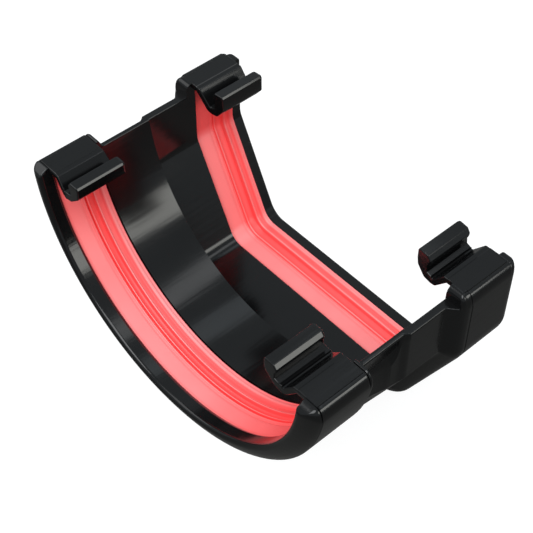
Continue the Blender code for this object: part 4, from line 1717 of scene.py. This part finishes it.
@dataclass
class SquareSeal(RubberSeal):
    """The seal in the square-line socket.

    Attributes:
        side_steps: Steps down each upright.
        spread: How much wider it lies than the CAD strip.
    """

    name: str = "seal_square"
    node: str = "square_seal"
    side_steps: int = 4
    spread: float = 0.00015

    @property
    def start(self) -> float:
        """Station of the front edge."""
        return self.sizes.square_seat[0] + self.sizes.seal_gap

    @property
    def width(self) -> float:
        """Width of the seal along the trough."""
        return self.sizes.square_seal_width + self.spread

    @property
    def bands(self) -> tuple[Band, ...]:
        """Lip, soft rib, wide groove and two ridges, each band with its height and painted sheen.

        Returns:
            The bands, in order across the seal.
        """
        return (*self.LIP, Band(0.430, 0.64, 0.68), Band(0.452, 0.72, 0.78), Band(0.466, 0.62, 0.42),
                Band(0.480, 0.56, 0.40), Band(0.500, 0.72, 0.76), Band(0.530, 0.72, 0.62),
                Band(0.548, 0.52, 0.20), Band(0.565, 0.48, 0.02), Band(0.600, 0.48, 0.12),
                Band(0.650, 0.50, 0.18), Band(0.705, 0.55, 0.08), Band(0.730, 0.84, 0.60),
                Band(0.748, 0.90, 0.95), Band(0.770, 0.88, 0.80), Band(0.795, 0.80, 0.30),
                Band(0.820, 0.80, 0.16), Band(0.850, 0.80, 0.20), Band(0.880, 0.95, 0.62),
                Band(0.905, 1.0, 0.85), Band(0.945, 0.95, 0.72), Band(0.980, 0.99, 0.80),
                Band(1.0, 0.90, 0.72))

    def seat(self) -> list[Point]:
        """Uprights, sloping sides and floor of the seat.

        Returns:
            Its points, from the far rim to the near rim.
        """
        s = self.sizes
        x = s.square_half + s.seal_thickness
        top = s.square_plate_top - s.plate_thickness - s.seal_top_gap
        lower = Outlines(s).lower(s.seal_thickness)
        upright = [(x, lerp(top, lower[0][1], k / self.side_steps)) for k in range(self.side_steps)]
        half = upright + lower
        return [(-x, z) for x, z in half] + half[-2::-1]


# studio
@dataclass(frozen=True)
class Softbox:
    """A rectangular lamp aimed at a point.

    Attributes:
        name: Name of the lamp.
        place: Where it stands.
        size: Its width and height.
        power: Its power in watts.
        tint: Its colour.
        aim: The point that it looks at.
    """

    name: str
    place: Place
    size: Point
    power: float
    tint: Colour
    aim: Place = (0.0, 0.0, 0.03)

    def build(self) -> bpy.types.Object:
        """Makes the lamp.

        Returns:
            The lamp object.
        """
        data = bpy.data.lights.new(self.name, "AREA")
        data.shape = "RECTANGLE"
        data.size, data.size_y = self.size
        data.energy = self.power
        data.color = self.tint
        lamp = linked(self.name, data)
        lamp.location = self.place
        look = Vector(self.aim) - Vector(self.place)
        lamp.rotation_euler = look.to_track_quat("-Z", "Y").to_euler()
        return lamp


@dataclass(frozen=True)
class Studio:
    """Pale floor, even world light and softboxes.

    Attributes:
        lamps: The softboxes.
        world_light: Strength of the even light from all around.
        world_tint: Its colour.
        glossy_share: Share of the white background in what glossy rays see.
        floor_half: Half width of the floor.
        floor_drop: Floor below the part, so that the two don't touch.
        floor_colour: Colour that the floor throws back at the part.
        floor_rough: Its roughness.
        floor_glow: Strength of its white to the camera.
        floor_shade: How much of the part's shadow the camera sees on it.
    """

    lamps: tuple[Softbox, ...]
    world_light: float = 0.50
    world_tint: Colour = (0.86, 0.95, 1.0)
    glossy_share: float = 0.05
    floor_half: float = 2.5
    floor_drop: float = 0.0002
    floor_colour: Colour = (0.065, 0.063, 0.058)
    floor_rough: float = 0.9
    floor_glow: float = 0.92
    floor_shade: float = 0.16

    def _white_for_camera(self, tree: bpy.types.NodeTree, seen: bpy.types.NodeSocket,
                          kept: bpy.types.NodeSocket) -> bpy.types.NodeSocket:
        """Mixes two shaders by the kind of ray.

        Args:
            tree: The node tree that the shaders are in.
            seen: What camera and transmission rays see, and glossy rays for their share.
            kept: What every other ray sees.

        Returns:
            The mixed shader.
        """
        nodes, links = tree.nodes, tree.links
        path = nodes.new("ShaderNodeLightPath")
        glossy = nodes.new("ShaderNodeMath")
        glossy.operation = "MULTIPLY_ADD"
        glossy.inputs[1].default_value = self.glossy_share
        clear = nodes.new("ShaderNodeMath")
        clear.operation = "MAXIMUM"
        mix = nodes.new("ShaderNodeMixShader")
        links.new(path.outputs["Is Glossy Ray"], glossy.inputs[0])
        links.new(path.outputs["Is Camera Ray"], glossy.inputs[2])
        links.new(glossy.outputs["Value"], clear.inputs[0])
        links.new(path.outputs["Is Transmission Ray"], clear.inputs[1])
        links.new(clear.outputs["Value"], mix.inputs["Fac"])
        links.new(kept, mix.inputs[1])
        links.new(seen, mix.inputs[2])
        return mix.outputs["Shader"]

    def _world(self) -> None:
        """Sets up the world light, white to the camera."""
        world = bpy.data.worlds.new("studio")
        bpy.context.scene.world = world
        world.use_nodes = True
        tree = world.node_tree
        kept = tree.nodes["Background"]
        kept.inputs["Color"].default_value = (*self.world_tint, 1.0)
        kept.inputs["Strength"].default_value = self.world_light
        seen = tree.nodes.new("ShaderNodeBackground")
        seen.inputs["Color"].default_value = (1.0, 1.0, 1.0, 1.0)
        seen.inputs["Strength"].default_value = 1.0
        out = self._white_for_camera(tree, seen.outputs["Background"], kept.outputs["Background"])
        tree.links.new(out, tree.nodes["World Output"].inputs["Surface"])

    def _floor_finish(self) -> bpy.types.Material:
        """Material that is white to the camera and keeps a faint shadow.

        Returns:
            The material.
        """
        g = MaterialGraph("floor_white")
        g.shader.inputs["Base Color"].default_value = (*self.floor_colour, 1.0)
        g.shader.inputs["Roughness"].default_value = self.floor_rough
        glow = g.add("ShaderNodeEmission")
        glow.inputs["Strength"].default_value = self.floor_glow
        faint = g.add("ShaderNodeBsdfDiffuse")
        faint.inputs["Color"].default_value = (self.floor_shade, self.floor_shade, self.floor_shade, 1.0)
        white = g.add("ShaderNodeAddShader")
        g.links.new(glow.outputs["Emission"], white.inputs[0])
        g.links.new(faint.outputs["BSDF"], white.inputs[1])
        tree = g.material.node_tree
        out = self._white_for_camera(tree, white.outputs["Shader"], g.shader.outputs["BSDF"])
        g.links.new(out, g.nodes["Material Output"].inputs["Surface"])
        return g.material

    def _floor(self) -> bpy.types.Object:
        """Makes the floor.

        Returns:
            The floor object.
        """
        h = self.floor_half
        mesh = bpy.data.meshes.new("floor")
        mesh.from_pydata([(-h, -h, 0.0), (h, -h, 0.0), (h, h, 0.0), (-h, h, 0.0)], [], [(0, 1, 2, 3)])
        mesh.materials.append(self._floor_finish())
        floor = linked("floor", mesh)
        floor.location.z = -self.floor_drop
        return floor

    def build(self) -> None:
        """Sets up the studio."""
        self._world()
        self._floor()
        for lamp in self.lamps:
            lamp.build()
        LOG.info("studio: %d softboxes", len(self.lamps))


@dataclass(frozen=True)
class PhotoCamera:
    """Camera at the photograph's angle.

    Attributes:
        place: Where it stands, in rim and end coordinates.
        heading: Degrees that it looks round from +Y towards -X.
        dip: Degrees that it looks down.
        roll: Degrees that it is turned about its line of sight.
        lens: Focal length in millimetres.
        sensor: Width of the picture at that length, in millimetres.
    """

    place: Place = (0.18581, -0.12917, 0.26125)
    heading: float = 47.993
    dip: float = 48.505
    roll: float = 0.184
    lens: float = 86.08
    sensor: float = 36.0

    def build(self, sizes: AdaptorSizes) -> bpy.types.Object:
        """Makes the camera and uses it.

        Args:
            sizes: The adaptor's sizes, for its frame.

        Returns:
            The camera object.
        """
        data = bpy.data.cameras.new("photo_camera")
        data.lens = self.lens
        data.sensor_width = self.sensor
        data.sensor_fit = "HORIZONTAL"
        data.clip_start = 0.01
        camera = linked("photo_camera", data)
        turn = Matrix.Identity(4)
        for degrees, axis in ((self.heading, "Z"), (90.0 - self.dip, "X"), (self.roll, "Z")):
            turn = turn @ Matrix.Rotation(math.radians(degrees), 4, axis)
        turn.translation = Vector(sizes.placed(*self.place))
        camera.matrix_world = turn
        bpy.context.scene.camera = camera
        return camera


def softboxes() -> tuple[Softbox, ...]:
    """The lamps of the studio, each for one of the soft streaks on the black moulding.

    Returns:
        The lamps.
    """
    return (
        Softbox("key", (0.24, -0.62, 1.05), (0.95, 0.85), 13.5, (0.97, 0.985, 1.0)),
        Softbox("side", (0.958, 0.410, 0.41), (0.44, 0.36), 2.8, (1.0, 1.0, 0.94)),
        Softbox("back", (0.36, 0.50, 1.00), (0.20, 0.40), 0.54, (0.97, 0.99, 1.0)),
        Softbox("fill", (-0.85, -0.50, 0.85), (0.80, 0.80), 3.6, (1.0, 1.0, 1.0)),
        Softbox("sky", (-0.24, 0.50, 1.10), (0.26, 0.30), 0.24, (0.85, 0.94, 1.0)))


def main() -> None:
    """Builds the adaptor, its studio and the camera."""
    logging.basicConfig(level=logging.INFO, format="%(message)s")
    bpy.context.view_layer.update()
    sizes = AdaptorSizes()
    LOG.info("packed nodes: %s", ", ".join(sorted(frame["nodes"])))
    bpy.context.scene.view_settings.view_transform = "Standard"
    AdaptorBody(sizes, MouldedPlastic()).build()
    HalfRoundSeal(sizes, SealRubber("half_round_seal_coral")).build()
    SquareSeal(sizes, SealRubber("square_seal_coral")).build()
    Studio(softboxes()).build()
    PhotoCamera().build(sizes)


if __name__ == "__main__":
    main()
